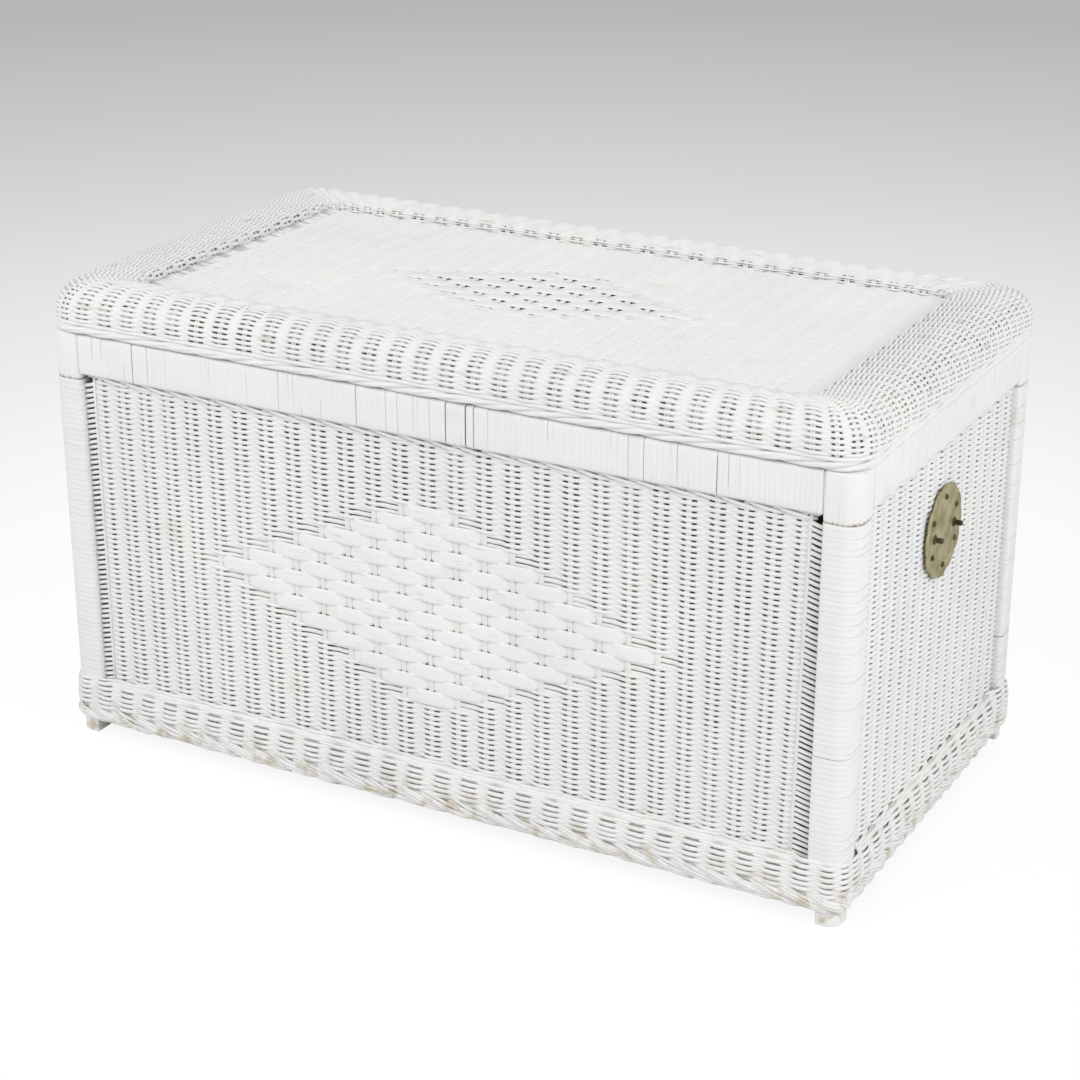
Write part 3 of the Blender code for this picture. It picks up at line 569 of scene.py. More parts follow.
def splints(strands, plane, pitch, diamond, middle, wide, rest, rise, dip, drawn):
    """Flat strips that float over every second stake and make the diamond."""
    reach, rows = diamond
    for j in range(-rows, rows + 1):
        half = reach - abs(j)
        us = [-half * pitch - SPLINT_END]
        hs = [-1.0]
        for i in range(-half, half):
            up = (i + j) % 2 == 0
            share = (0, 0.09, 0.18, 0.32, 0.62) if up else (0, 0.38, 0.68, 0.82, 0.91)
            level = (-1, dip, dip + 0.65, 0.55, 0.85) if up else (1, 0.85, 0.55, dip + 0.65, dip)
            us += [(i + f) * pitch for f in share]
            hs += level
        us = np.array(us + [half * pitch, half * pitch + SPLINT_END])
        hs = np.array(hs + [-1.0, -1.0]) + dice.normal(0, 0.03, len(us))
        below = smooth(0.62, -0.28, hs)
        below[:2] = below[-2:] = 0.25
        upper = wide - 0.0004 * below
        lower = wide - drawn * below
        v = middle + j * STRIP + (upper - lower) / 2 + dice.normal(0, 0.0002)
        v = v + 0.6 * strayed(us, v)
        strands.add(plane.at(us, v, rest + rise * hs), plane.out, (upper + lower) / 2, SPLINT_THICK)


# How a row ends at the diamond: seen going under the splint, or not
SHOWN_TUCK = -0.75
QUIET_TUCK = -0.05
TUCK = (0.003, 0.008)
TUCK_FALL = 0.4
NEAR = 1e-6


def panel(plane, stakes, foot, top, middle, tails, cut, lift=LIFT, shade_strength=1.0, weak=1.0, parts=2):
    """Rows of a panel, in parts.

    tails(sign) gives the end of a row, cut(row) how far the diamond reaches."""
    made = [Strands() for _ in range(parts)]
    lowest = math.ceil((foot - middle) / ROW + 0.5)
    rows = np.arange(lowest, math.floor((top - middle) / ROW + 0.5))
    for n in rows:
        signs = (-1.0) ** (np.arange(len(stakes)) + n)
        low_tail, high_tail = tails(signs[0]), tails(signs[-1])
        reach = cut(n) if cut else None
        runs = []
        if reach is None:
            runs.append(run_of(stakes, signs, low_tail, high_tail))
        else:
            shown = lift == LIFT and (n + ROWS_PER_STRIP // 2) % ROWS_PER_STRIP >= 1
            first = stakes <= -reach + NEAR
            last = stakes >= reach - NEAR
            for part, end, beside in ((first, -1, -2), (last, 0, 1)):
                ways = signs[part]
                ways[end] = SHOWN_TUCK if shown and ways[beside] < 0 else QUIET_TUCK
                ways[beside] = max(ways[beside], ways[end])
                tuck = [(TUCK[0], ways[end]), (TUCK[1], ways[end] - TUCK_FALL)]
                ends = (low_tail, tuck) if end else (tuck, high_tail)
                runs.append(run_of(stakes[part], ways, *ends))
        strands = made[(n - lowest) * parts // len(rows)]
        for us, hs in runs:
            lay(strands, plane, us, hs, middle + n * ROW, lift, shade_strength, weak)
    return made


def cut_by(diamond, pitch):
    reach, rows = diamond

    def cut(n):
        j = (n + ROWS_PER_STRIP // 2) // ROWS_PER_STRIP
        return (reach - abs(j)) * pitch if abs(j) <= rows else None

    return cut


def ladder_tail(sign):
    """A row behind the last stake crosses the open ladder to the post; others turn round the edge reed."""
    if sign < 0:
        return [(0.0035, -0.25), (0.0075, 0.45), (0.013, 0.75), (0.0205, 0.8)]
    return [(0.0035, 0.4), (0.0078, -0.75)]


def post_tail(sign):
    return [(0.006, 0.2 * sign), (0.0135, -0.55 * sign)]


def lip_tail(sign):
    return [(0.010, -0.1 * sign), (0.020, -0.7 * sign), (0.0255, -0.6 * sign)]


middle_stakes = np.arange(-FRONT_REACH, FRONT_REACH + 1) * MIDDLE_PITCH
side_stakes = np.linspace(middle_stakes[-1], PANEL_X - LAST_STAKE, SIDE_STAKES + 1)[1:]
front_stakes = np.concatenate([-side_stakes[::-1], middle_stakes, side_stakes])
back_stakes = np.linspace(-PANEL_X + LAST_STAKE, PANEL_X - LAST_STAKE, BACK_STAKES)
end_stakes = np.linspace(-PANEL_Y + END_LAST, PANEL_Y - END_LAST, END_STAKES)

front = Plane((0, FRONT_Y - RAISED, 0), (1, 0, 0), (0, 0, 1), (0, -1, 0))
back = Plane((0, RAISED - FRONT_Y, 0), (-1, 0, 0), (0, 0, 1), (0, 1, 0))
right = Plane((END_X + RAISED, 0, 0), (0, 1, 0), (0, 0, 1), (1, 0, 0))
left = Plane((-END_X - RAISED, 0, 0), (0, -1, 0), (0, 0, 1), (-1, 0, 0))
WEAVE_TOP = PANEL_TOP - 0.0062
WEAVE_FOOT = PANEL_FOOT - 0.002
END_WEAK = 0.62
front_cut = cut_by(FRONT_DIAMOND, MIDDLE_PITCH)
walls = (
    ("front", front, front_stakes, ladder_tail, front_cut, paint_x, 1.0, 2),
    ("back", back, back_stakes, ladder_tail, None, paint_x, 1.0, 2),
    ("right", right, end_stakes, post_tail, None, paint_y, END_WEAK, 1),
    ("left", left, end_stakes, post_tail, None, paint_y, END_WEAK, 1),
)
for name, plane, stakes, tails, cut, finish, weak, parts in walls:
    ends = (WEAVE_FOOT, WEAVE_TOP, FRONT_DIAMOND_Z)
    made = panel(plane, stakes, *ends, tails, cut, weak=weak, parts=parts)
    top_row(made[-1], plane, stakes, PANEL_TOP)
    settle_parts(made, "weave_" + name, finish, "chest", "wicker_panel_" + name)
    uprights = Strands()
    stand(uprights, plane, stakes, STAKE_FOOT, PANEL_TOP, *WALL_STAKE)
    if tails is ladder_tail:
        stand(uprights, plane, edge_reeds, STAKE_FOOT, PANEL_TOP, *EDGE_STAKE)
    uprights.settle("stakes_" + name, paint_z, "chest")

diamond = Strands(FLAT)
splints(diamond, front, MIDDLE_PITCH, FRONT_DIAMOND, FRONT_DIAMOND_Z, *FRONT_SPLINT)
diamond.settle("splints_front", splint_paint, "chest", "front_diamond", slot="flat_splint")

# Lid panel
# The painted shade and grime on the lid's rows is fainter
LID_SHADE_STRENGTH = 0.66
lid_plane = Plane((0, 0, LID_Z + LID_RAISED), (1, 0, 0), (0, 1, 0), (0, 0, 1))
LID_LAST_STAKE = lid_reach[0] - LID_LAST
lid_stakes = np.linspace(-LID_LAST_STAKE, LID_LAST_STAKE, LID_STAKES)
lid_pitch = lid_stakes[1] - lid_stakes[0]
lid_cut = cut_by(LID_DIAMOND, lid_pitch)
lid_ends = (lid_low[1], lid_high[1])
made = panel(lid_plane, lid_stakes, *lid_ends, 0.0, lip_tail, lid_cut, LID_LIFT, LID_SHADE_STRENGTH)
settle_parts(made, "weave_lid", paint_x, "lid", "lid_panel")
uprights = Strands()
stand(uprights, lid_plane, lid_stakes, *lid_ends, *LID_STAKE)
uprights.settle("stakes_lid", paint_y, "lid")
diamond = Strands(FLAT)
splints(diamond, lid_plane, lid_pitch, LID_DIAMOND, 0.0, *LID_SPLINT)
diamond.settle("splints_lid", lid_splint_paint, "lid", "lid_diamond", slot="flat_splint")

# Rounded outlines
CORNERS = ((1, 1), (-1, 1), (-1, -1), (1, -1))


def outline(low, high, bends, steps, parts):
    """Points and outward directions round a rectangle, from its far right corner the left-hand way.

    bends is the radius at each of CORNERS; parts splits each straight side."""
    centres = []
    for corner, bend in zip(CORNERS, bends):
        corner = np.array(corner)
        centres.append(np.where(corner > 0, high, low) - corner * bend)
    points = []
    ways = []
    for c, (centre, bend) in enumerate(zip(centres, bends)):
        turn = (c + np.arange(steps + 1) / steps) * math.pi / 2
        spoke = np.stack([np.cos(turn), np.sin(turn)], 1)
        points += list(centre + bend * spoke)
        ways += list(spoke)
        near = points[-1]
        following = (c + 1) % 4
        far = centres[following] + bends[following] * spoke[-1]
        for p in range(1, parts):
            points.append(near + (far - near) * p / parts)
            ways.append(spoke[-1])
    return np.array(points), np.array(ways)


# Posts wound with cane, and corner wraps: upright strips over the joint of the rails
WIND = 2 * ROW
POST_ROUND = 0.016
POST_EASE = 0.005
WIND_TOP = 0.0006
# Across one turn of cane: (share of its width, how deep)
TURN_SECTION = ((0.0, 0.00026), (0.10, 0.00004), (0.5, 0.0), (0.90, 0.00004))
# Up a corner strip: (share of its height, how deep, how worn)
STRIP_SECTION = (
    (0, 0.0012, 1.0),
    (0.02, 0.0003, 0.7),
    (0.08, 0.0, 0.0),
    (0.5, 0.0, 0.0),
    (0.96, 0.0, 0.0),
    (1, 0.0009, 0.0),
)
STRIP_CROWN = np.array([0.0, 0.00022, 0.0003, 0.00022])
turns = int(round((post_high[2] - post_low[2]) / WIND))
wind = (post_high[2] - post_low[2]) / turns
for side, sx in (("left", -1), ("right", 1)):
    for depth, sy in (("front", -1), ("back", 1)):
        bends = [POST_ROUND if corner == (sx, sy) else POST_EASE for corner in CORNERS]
        low = np.where(np.array([sx, sy]) > 0, post_low[:2], -post_high[:2])
        high = low + (post_high - post_low)[:2]
        line, ways = outline(low, high, bends, 6, 3)
        skin = Skin()
        angle = np.arctan2(ways[:, 1], ways[:, 0])
        for t in range(turns):
            start = post_low[2] + (t + (dice.uniform(-0.16, 0.16) if t else 0)) * wind
            # Painted shade and grime in the groove at the foot of each turn, and along the top end
            dark = dice.uniform(0.2, 0.56) + (0.40 if dice.random() < 0.12 else 0.0)
            part = 0.5 + 0.5 * np.sin(angle + dice.uniform(0, 6.28))
            tilt = 0.0004 * np.sin(angle + dice.uniform(-0.5, 0.5))
            for share, inset in TURN_SECTION:
                hole = 0.0 if share else dark * (0.5 + 0.5 * part)
                skin.ring(*(line - ways * inset).T, start + share * wind + tilt, hole)
        skin.ring(*(line - ways * WIND_TOP).T, post_high[2], 0.5)
        skin.settle(f"post_wraps_{depth}_{side}", cane_flat, f"post_winding_{depth}_{side}")

        line, ways = outline(low, high, bends, 12, 12)
        foot, top = wrap_low[2], wrap_high[2]
        across = np.arange(len(line)) % len(STRIP_CROWN)
        crown = STRIP_CROWN[across] - STRIP_CROWN.max()
        # Painted shade and grime in the seams between strips, half as dark at their ends
        dark = np.where(across == 0, dice.uniform(0.0, 0.55, len(line)), 0.0)
        hang = dice.normal(0, 0.0006, len(line))
        skin = Skin()
        for share, inset, _ in STRIP_SECTION:
            flat = line + ways * (crown - inset)[:, None]
            level = foot + share * (top - foot) + hang * (share < 0.1)
            skin.ring(*flat.T, level, dark if 0 < share < 1 else dark * 0.5)
        wear = np.array([[worn] for _, _, worn in STRIP_SECTION]) * dice.uniform(0.35, 1.0, len(line))
        skin.settle(f"corner_strips_{depth}_{side}", cane_up, f"corner_wrap_{depth}_{side}", worn=wear)

# Rails wound with upright cane strips, some of them drawn apart
CANE = 0.0056
CANE_DEPTH = 0.00022
CANE_CROWN = 0.00003
RAIL_EASE = 0.004
# A crack: (place, width, share of the height where it starts, where it ends)
FRONT_CRACKS = (
    (-0.345, 0.0012, 0.0, 1.0),
    (-0.326, 0.0007, 0.2, 1.0),
    (-0.204, 0.0005, 0.3, 0.7),
    (-0.166, 0.0007, 0.0, 1.0),
    (-0.075, 0.0009, 0.0, 1.0),
    (-0.041, 0.0006, 0.1, 1.0),
    (-0.028, 0.0006, 0.0, 0.9),
    (0.008, 0.0006, 0.1, 0.9),
    (0.026, 0.0013, 0.0, 1.0),
    (0.048, 0.0016, 0.0, 1.0),
    (0.057, 0.0010, 0.0, 1.0),
    (0.221, 0.0006, 0.0, 1.0),
    (0.237, 0.0007, 0.0, 1.0),
    (0.271, 0.0006, 0.3, 1.0),
    (0.311, 0.0010, 0.0, 0.9),
)


def wound_rail(side, along, cracks):
    """Strips wound round a rail. along is 0 for a rail in X and 1 for one in Y."""
    node = "rail_winding_" + side
    low, high = ends_of(node)
    across = 1 - along
    line, ways = outline(low[[across, 2]], high[[across, 2]], [RAIL_EASE] * 4, 3, 5)
    height = (line[:, 1] - low[2]) / (high[2] - low[2])
    skin = Skin()

    def ring(place, inset, hole):
        flat = line - ways * np.broadcast_to(inset, len(line))[:, None]
        x, y = (flat[:, 0], place) if along else (place, flat[:, 0])
        skin.ring(x, y, flat[:, 1], hole)

    marks = [(low[along], 0.0, 0.0, 1.0), *cracks, (high[along], 0.0, 0.0, 1.0)]
    for (start, gap, _, _), (stop, next_gap, foot, top) in zip(marks[:-1], marks[1:]):
        first = start + gap / 2
        last = stop - next_gap / 2
        count = max(1, int(round((last - first) / CANE)))
        joints = np.linspace(first, last, count + 1)
        joints[1:-1] += np.clip(dice.normal(0, 0.0009, count - 1), -0.0018, 0.0018)
        for c in range(count):
            wide = joints[c + 1] - joints[c]
            # Painted shade and grime in the joint between strips
            dark = dice.uniform(0.25, 0.55) + (0.32 if dice.random() < 0.32 else 0.0) if c else 0.0
            reach = smooth(-0.1, 0.25, height - dice.uniform(-0.3, 0.5))
            ring(joints[c], CANE_DEPTH, dark * (reach if dice.random() < 0.6 else 1 - reach))
            for share, inset in ((0.09, CANE_CROWN), (0.5, 0.0), (0.91, CANE_CROWN)):
                ring(joints[c] + share * wide, inset, 0.0)
        ring(last, CANE_DEPTH, 0.0)
        # Painted shade and grime in the drawn-apart gaps between strips
        if next_gap:
            opened = smooth(foot - 0.08, foot + 0.04, height)
            opened = opened * (1 - smooth(top - 0.04, top + 0.08, height))
            for share in (0.12, 0.88):
                ring(last + share * next_gap, 0.0003 + 0.0013 * opened, opened)
    skin.settle("rail_strips_" + side, cane_up, node)


def scattered_cracks(reach, count):
    places = np.sort(dice.uniform(-reach, reach, count))
    keep = np.concatenate([[True], np.diff(places) > 0.008])
    return [
        (place, dice.uniform(0.0006, 0.0014), dice.uniform(0, 0.3), dice.uniform(0.7, 1.0))
        for place in places[keep]
    ]


wound_rail("front", 0, FRONT_CRACKS)
for side, along, reach, count in (("back", 0, 0.38, 10), ("right", 1, 0.18, 4), ("left", 1, 0.18, 4)):
    wound_rail(side, along, scattered_cracks(reach, count))


# Rings round the base and the lid
def walked(place, spans, half_x, half_y, bend, outer):
    """Flat points and outward directions on a rounded rectangle, from the left end of its front.

    spans is how far place runs along the front, a corner, an end and a corner. outer is the straight half
    of the outermost front and end; lines inside it are drawn together only towards the corners."""
    half_x, half_y, bend = (np.broadcast_to(value, place.shape) for value in (half_x, half_y, bend))
    point = np.zeros(place.shape + (2,))
    way = np.zeros(place.shape + (2,))
    place = np.mod(place, 2 * sum(spans))
    for quarter in range(4):
        turn = quarter * math.pi / 2
        along = np.array([math.cos(turn), math.sin(turn)])
        away = np.array([math.sin(turn), -math.cos(turn)])
        mine, other = (half_y, half_x) if quarter % 2 else (half_x, half_y)
        side, corner = spans[2:] if quarter % 2 else spans[:2]
        flat = mine - bend
        straight = outer[quarter % 2]
        even = straight * RIM_EVEN
        t = place / side
        on = (t >= 0) & (t < 1)
        q = (2 * t - 1) * straight
        over = np.clip(np.abs(q) - even, 0, None)
        q = np.sign(q) * (np.minimum(np.abs(q), even) + over * (flat - even) / (straight - even))
        point[on] = (q[..., None] * along + other[..., None] * away)[on]
        way[on] = away
        t = (place - side) / corner
        on = (t >= 0) & (t < 1)
        angle = turn - math.pi / 2 + t * math.pi / 2
        spoke = np.stack([np.cos(angle), np.sin(angle)], -1)
        centre = flat[..., None] * along + (other - bend)[..., None] * away
        point[on] = (centre + bend[..., None] * spoke)[on]
        way[on] = spoke[on]
        place = place - side - corner
    return point, way


class Loop:
    """A rounded rectangle walked by length from the middle of the front, to the right."""

    def __init__(self, half_x, half_y, bend):
        self.shape = (half_x, half_y, bend)
        self.flat_x = half_x - bend
        self.flat_y = half_y - bend
        self.arc = bend * math.pi / 2
        self.length = 4 * (self.flat_x + self.flat_y + self.arc)

    def at(self, s):
        spans = (2 * self.flat_x, self.arc, 2 * self.flat_y, self.arc)
        return walked(s + self.flat_x, spans, *self.shape, (self.flat_x, self.flat_y))


def ring_path(loop, s, inset, z):
    """World points and outward directions on a loop, drawn in by inset, at height z."""
    s, inset, z = np.broadcast_arrays(s, inset, z)
    flat, way = loop.at(s)
    point = np.concatenate([flat - way * inset[..., None], z[..., None]], -1)
    out = np.concatenate([way, np.zeros(way.shape[:-1] + (1,))], -1)
    return point, out


# Base border: its stakes follow the walls, with one at each post and each corner
BASE_BEND = 0.022
POST_MARK_X = 0.425
POST_MARK_Y = 0.222
base_loop = Loop(border_high[0], border_high[1], BASE_BEND)
corner_at = base_loop.flat_x + base_loop.arc / 2
right_middle = base_loop.flat_x + base_loop.arc + base_loop.flat_y
back_middle = base_loop.length / 2
left_middle = base_loop.length - right_middle
end_marks = np.array([-POST_MARK_Y, *end_stakes, POST_MARK_Y])
stations = np.concatenate(
    [
        [-POST_MARK_X, *front_stakes, POST_MARK_X, corner_at],
        right_middle + end_marks,
        [back_middle - corner_at],
        back_middle + np.array([-POST_MARK_X, *back_stakes, POST_MARK_X]),
        [back_middle + corner_at],
        left_middle + end_marks,
        [base_loop.length - corner_at],
    ]
)
station_gaps = np.diff(np.concatenate([stations, [stations[0] + base_loop.length]]))

BORDER_ROWS = 12
BORDER_LEAN = 0.0102
POST_LEAN = 0.0030
BORDER_REED = 0.0016
BORDER_LIFT = 0.0020
BORDER_TALL = 0.0020
BORDER_SINK = 0.0042
# Where the posts begin in X and in Y, and the ends in X
POST_ZONE_X = (0.396, 0.412)
POST_ZONE_Y = (0.186, 0.202)
END_ZONE = (0.440, 0.450)
border_pitch = (border_high[2] - border_low[2]) / (BORDER_ROWS - 1)
between = stations + station_gaps / 2
between_gaps = (station_gaps + np.roll(station_gaps, -1)) / 2
s = (between[:, None] + between_gaps[:, None] * ALONG_GAP).ravel()
swing = (((-1.0) ** np.arange(len(between)))[:, None] * WAVE).ravel()
base_flat = np.abs(base_loop.at(s)[0])
by_post = smooth(*POST_ZONE_X, base_flat[:, 0]) * smooth(*POST_ZONE_Y, base_flat[:, 1])
on_ends = smooth(*END_ZONE, base_flat[:, 0])
border = Strands()
for row in range(BORDER_ROWS):
    hs = swing * (-1) ** row
    level = border_low[2] + (row + 0.5) * border_pitch
    stray = 0.0004 * np.sin(11 * s + 0.3 * row) + 0.0003 * np.sin(37 * s + 0.5 * row)
    rise = ((row + 0.5) / BORDER_ROWS) ** 3
    lean = rise * (POST_LEAN * by_post + BORDER_LEAN * (1 - by_post))
    jitter = dice.normal(0, 0.0002, len(s))
    inset = lean + BORDER_SINK - BORDER_LIFT * hs + jitter
    path = ring_path(base_loop, s, inset, level + stray)
    tall = BORDER_TALL * (1 + 0.18 * np.clip(hs, 0, 1) - 0.25 * np.clip(-hs, 0, 1))
    # Painted shade and grime in the holes where a row goes behind a stake: lighter on the ends, and on the
    # top row only on the ends
    open_share = (0.80 if row < BORDER_ROWS - 2 else 0.55) - 0.35 * on_ends
    if row == BORDER_ROWS - 1:
        open_share = 1.2 * on_ends
    hole = smooth(0.10, 0.80, -hs) * dice.uniform(0.45, 0.95, len(s))
    hole = hole * open_share * hole_shade_spread(2 * s, level)
    border.add(*path, tall, BORDER_REED, hole, closed=True)
border.settle("border_twining", paint_x, "chest", "base_border")

# Rope edge: one bundle of three reeds for each stake, laid slantwise to the right, over plain rounds
ROPE_REED = 0.00195
ROPE_APART = 0.0033
BUNDLE_START = -0.45
BUNDLE_RUN = 2.05
ROUND_WIDE = 0.0026
ROUND_DEEP = 0.0024
ROUND_STEPS = 380
# A plain round behind the bundles: (height over the foot, how far in, painted shade and dirt)
ROPE_ROUNDS = (
    (0.0048, 0.0066, 0.0),
    (0.0090, 0.0066, 0.3),
    (0.0134, 0.0066, 0.52),
    (0.0176, 0.0064, 0.52),
)
rope_foot, rope_top = rope_low[2], rope_high[2]
share = np.linspace(0, 1, 10)
rope = Strands()
slope = rope_top + 0.0006 - (rope_top - rope_foot - 0.0046) * smooth(-0.1, 1.05, share)
sink = 0.0084 - 0.0062 * np.sin(math.pi * np.clip(share * 1.04, 0, 1)) ** 0.6
# Painted shade and dirt at each bundle's ends
shade_and_dirt = 0.62 * smooth(0.16, 0.0, share) + 0.5 * smooth(0.92, 1.0, share)
s = stations[:, None] + station_gaps[:, None] * (BUNDLE_START + BUNDLE_RUN * share)
for strand in (-1, 0, 1):
    lean = strand * ROPE_APART * (0.75 + 0.25 * np.sin(math.pi * share))
    z = slope + lean + dice.normal(0, 0.0005, (len(s), 1)) + dice.normal(0, 0.0003, s.shape)
    z = np.clip(z, rope_foot + ROPE_REED, None)
    depth = sink + abs(strand) * 0.0007 + dice.normal(0, 0.0002, s.shape)
    thick = ROPE_REED * uneven((len(s), 1), 0.12, 0.8, 1.2)
    rope.add(*ring_path(base_loop, s, depth, z), thick, thick, shade_and_dirt)
s = np.linspace(0, base_loop.length, ROUND_STEPS, endpoint=False)
for lift, inset, shade_and_dirt in ROPE_ROUNDS:
    level = rope_foot + lift + 0.0005 * np.sin(s * 70)
    path = ring_path(base_loop, s, inset + 0.0005 * np.sin(s * 95), level)
    rope.add(*path, ROUND_WIDE, ROUND_DEEP, shade_and_dirt, closed=True)
rope.settle("rope_edge", paint_x, "chest", "base_rope")

# Lid edge: long reeds twisted together, left open where the hinges stand
EDGE_BEND = 0.034
EDGE_STRANDS = 5
EDGE_LAY = 0.175
EDGE_REED = 0.0029
EDGE_DROP = 0.0003
EDGE_SWING = 0.0036
EDGE_TAPER = 0.010
EDGE_STEP = 0.006
NOTCH_SIDE = 0.0045
# The round on top of the twist: half width, half depth, how far in, how far under the top, step
TOP_WIDE = 0.0022
TOP_DEEP = 0.0020
TOP_IN = 0.0020
TOP_UNDER = 0.0004
TOP_STEP = 0.008
edge_loop = Loop(edge_high[0], edge_high[1], EDGE_BEND)
edge_middle = (edge_low[2] + edge_high[2]) / 2 - EDGE_DROP
swing_z = (edge_high[2] - edge_low[2]) / 2 - EDGE_REED
notch = (hinge_low[0] - NOTCH_SIDE, hinge_high[0] + NOTCH_SIDE)
half_way = edge_loop.length / 2
runs = (
    (half_way + notch[1] - edge_loop.length, half_way - notch[1]),
    (half_way - notch[0], half_way + notch[0]),
)
edge = Strands(circle(sides=8))
for start, stop in runs:
    s = np.linspace(start, stop, int((stop - start) / EDGE_STEP))
    taper = smooth(0, EDGE_TAPER, np.minimum(s - start, stop - s))
    thick = EDGE_REED * (0.6 + 0.4 * taper)
    for strand in range(EDGE_STRANDS):
        turn = 2 * math.pi * (s / EDGE_LAY + strand / EDGE_STRANDS) + 0.35 * np.sin(s * 31 + strand * 2)
        inset = EDGE_REED + EDGE_SWING - EDGE_SWING * np.cos(turn) * taper
        level = edge_middle + swing_z * np.sin(turn) * taper
        edge.add(*ring_path(edge_loop, s, inset, level), thick, thick)
for start, stop in runs:
    s = np.linspace(start, stop, int((stop - start) / TOP_STEP))
    path = ring_path(edge_loop, s, TOP_IN + 0.0003 * np.sin(s * 150), edge_high[2] - TOP_UNDER)
    edge.add(*path, TOP_WIDE, TOP_DEEP)
edge.settle("lid_rope", paint_x, "lid", "lid_edge")

# Lid rim: its section goes up the wall, over the crest, down to the lip and under it
RIM_FOOT = 0.0018
RIM_TUCK = 0.0045
RIM_PITCH = 0.00250
RIM_STEP = 0.0015
rim_wall_z = rim_low[2] + RIM_WALL
crest_z = rim_high[2]
lip_z = crest_z - RIM_DIP
lip_start = 1 - RIM_LIP / (RIM_LONG - CREST_IN)
lip_in = (RIM_LIP - RIM_SKIN) / (RIM_LONG - CREST_IN)
turn = np.linspace(0, math.pi / 2, 24)
down = np.linspace(0.1, 1, 8)
under = np.linspace(0.2, 1, 6) * math.pi / 2
near = CREST_IN - (CREST_IN - RIM_SKIN) * np.cos(turn)
near = np.array([RIM_SKIN, RIM_SKIN, *near, *[CREST_IN] * (len(down) + len(under) + 1)])
past = [*lip_start * down, *lip_start + lip_in * np.sin(under), lip_start + lip_in]
past = np.array([0.0, 0.0, *[0.0] * len(turn), *past])
tall = np.array(
    [
        rim_low[2] + RIM_FOOT,
        rim_wall_z,
        *rim_wall_z + (crest_z - RIM_SKIN - rim_wall_z) * np.sin(turn),
        *crest_z - RIM_SKIN - RIM_DIP * down * down,
        *lip_z - RIM_LIP + (RIM_LIP - RIM_SKIN) * np.cos(under),
        lid_high[2] - RIM_TUCK,
    ]
)
inset_long = near + past * (RIM_LONG - CREST_IN)
inset_end = near + past * (RIM_END - CREST_IN)
length = np.concatenate([[0], np.cumsum(np.hypot(np.diff(inset_end), np.diff(tall)))])
crest_at = length[1 + len(turn)]
RIM_ROWS = int(round(length[-1] / RIM_PITCH))
RIM_ROW = length[-1] / RIM_ROWS
row_at = (np.arange(RIM_ROWS) + 0.5) / RIM_ROWS * length[-1]
rim_total = sum(RIM_STAKES) * 2


def rim_point(station, at):
    """World point and outward direction of the rim at a station round it and a length across it."""
    station, at = np.broadcast_arrays(np.asarray(station, float), at)
    close, beyond, z = (np.interp(at, length, line) for line in (near, past, tall))
    across, up = (
        np.interp(at + RIM_STEP, length, line) - np.interp(at - RIM_STEP, length, line)
        for line in (inset_long, tall)
    )
    size = np.maximum(np.hypot(across, up), 1e-9)
    half_x = rim_high[0] - close - beyond * (RIM_END - CREST_IN)
    half_y = rim_high[1] - close - beyond * (RIM_LONG - CREST_IN)
    drawn = (close + beyond * (RIM_LONG - CREST_IN)) / RIM_LONG
    bend = LID_CORNER + (RIM_BEND - LID_CORNER) * drawn
    flat, way = walked(station, RIM_STAKES, half_x, half_y, bend, rim_high[:2] - LID_CORNER)
    point = np.concatenate([flat, z[..., None]], -1)
    normal = np.concatenate([way * (up / size)[..., None], (across / size)[..., None]], -1)
    return point, unit(normal)


# Rim rows: more open on the ends and by the corners, with painted shade and grime in their holes, darker
# there and by the crest, fainter past the crest of the long sides
RIM_LIFT = 0.0018
RIM_REED = 0.0016
RIM_STAKE = 0.0014
RIM_PIECES = 3
half_round = rim_total / 2
corner = RIM_STAKES[1]
rim_stations = (np.arange(rim_total)[:, None] + 0.5 + ALONG_GAP).ravel()
rim_heights = (((-1.0) ** np.arange(rim_total))[:, None] * WAVE).ravel()
zone = np.mod(rim_stations, half_round)
on_end = smooth(RIM_STAKES[0], RIM_STAKES[0] + corner, zone) * smooth(half_round, half_round - corner, zone)
end_run = RIM_STAKES[2] + RIM_STAKES[3]
from_corner = np.mod(zone - RIM_STAKES[0] - corner / 2 + end_run / 2, end_run) - end_run / 2
by_corner = smooth(0.5, 0.0, np.abs(from_corner) - corner / 2)
on_left = on_end * (np.mod(rim_stations, rim_total) > half_round)
narrowed = (RIM_LONG - CREST_IN) / (RIM_END - CREST_IN)
rims = [Strands() for _ in range(RIM_PIECES)]
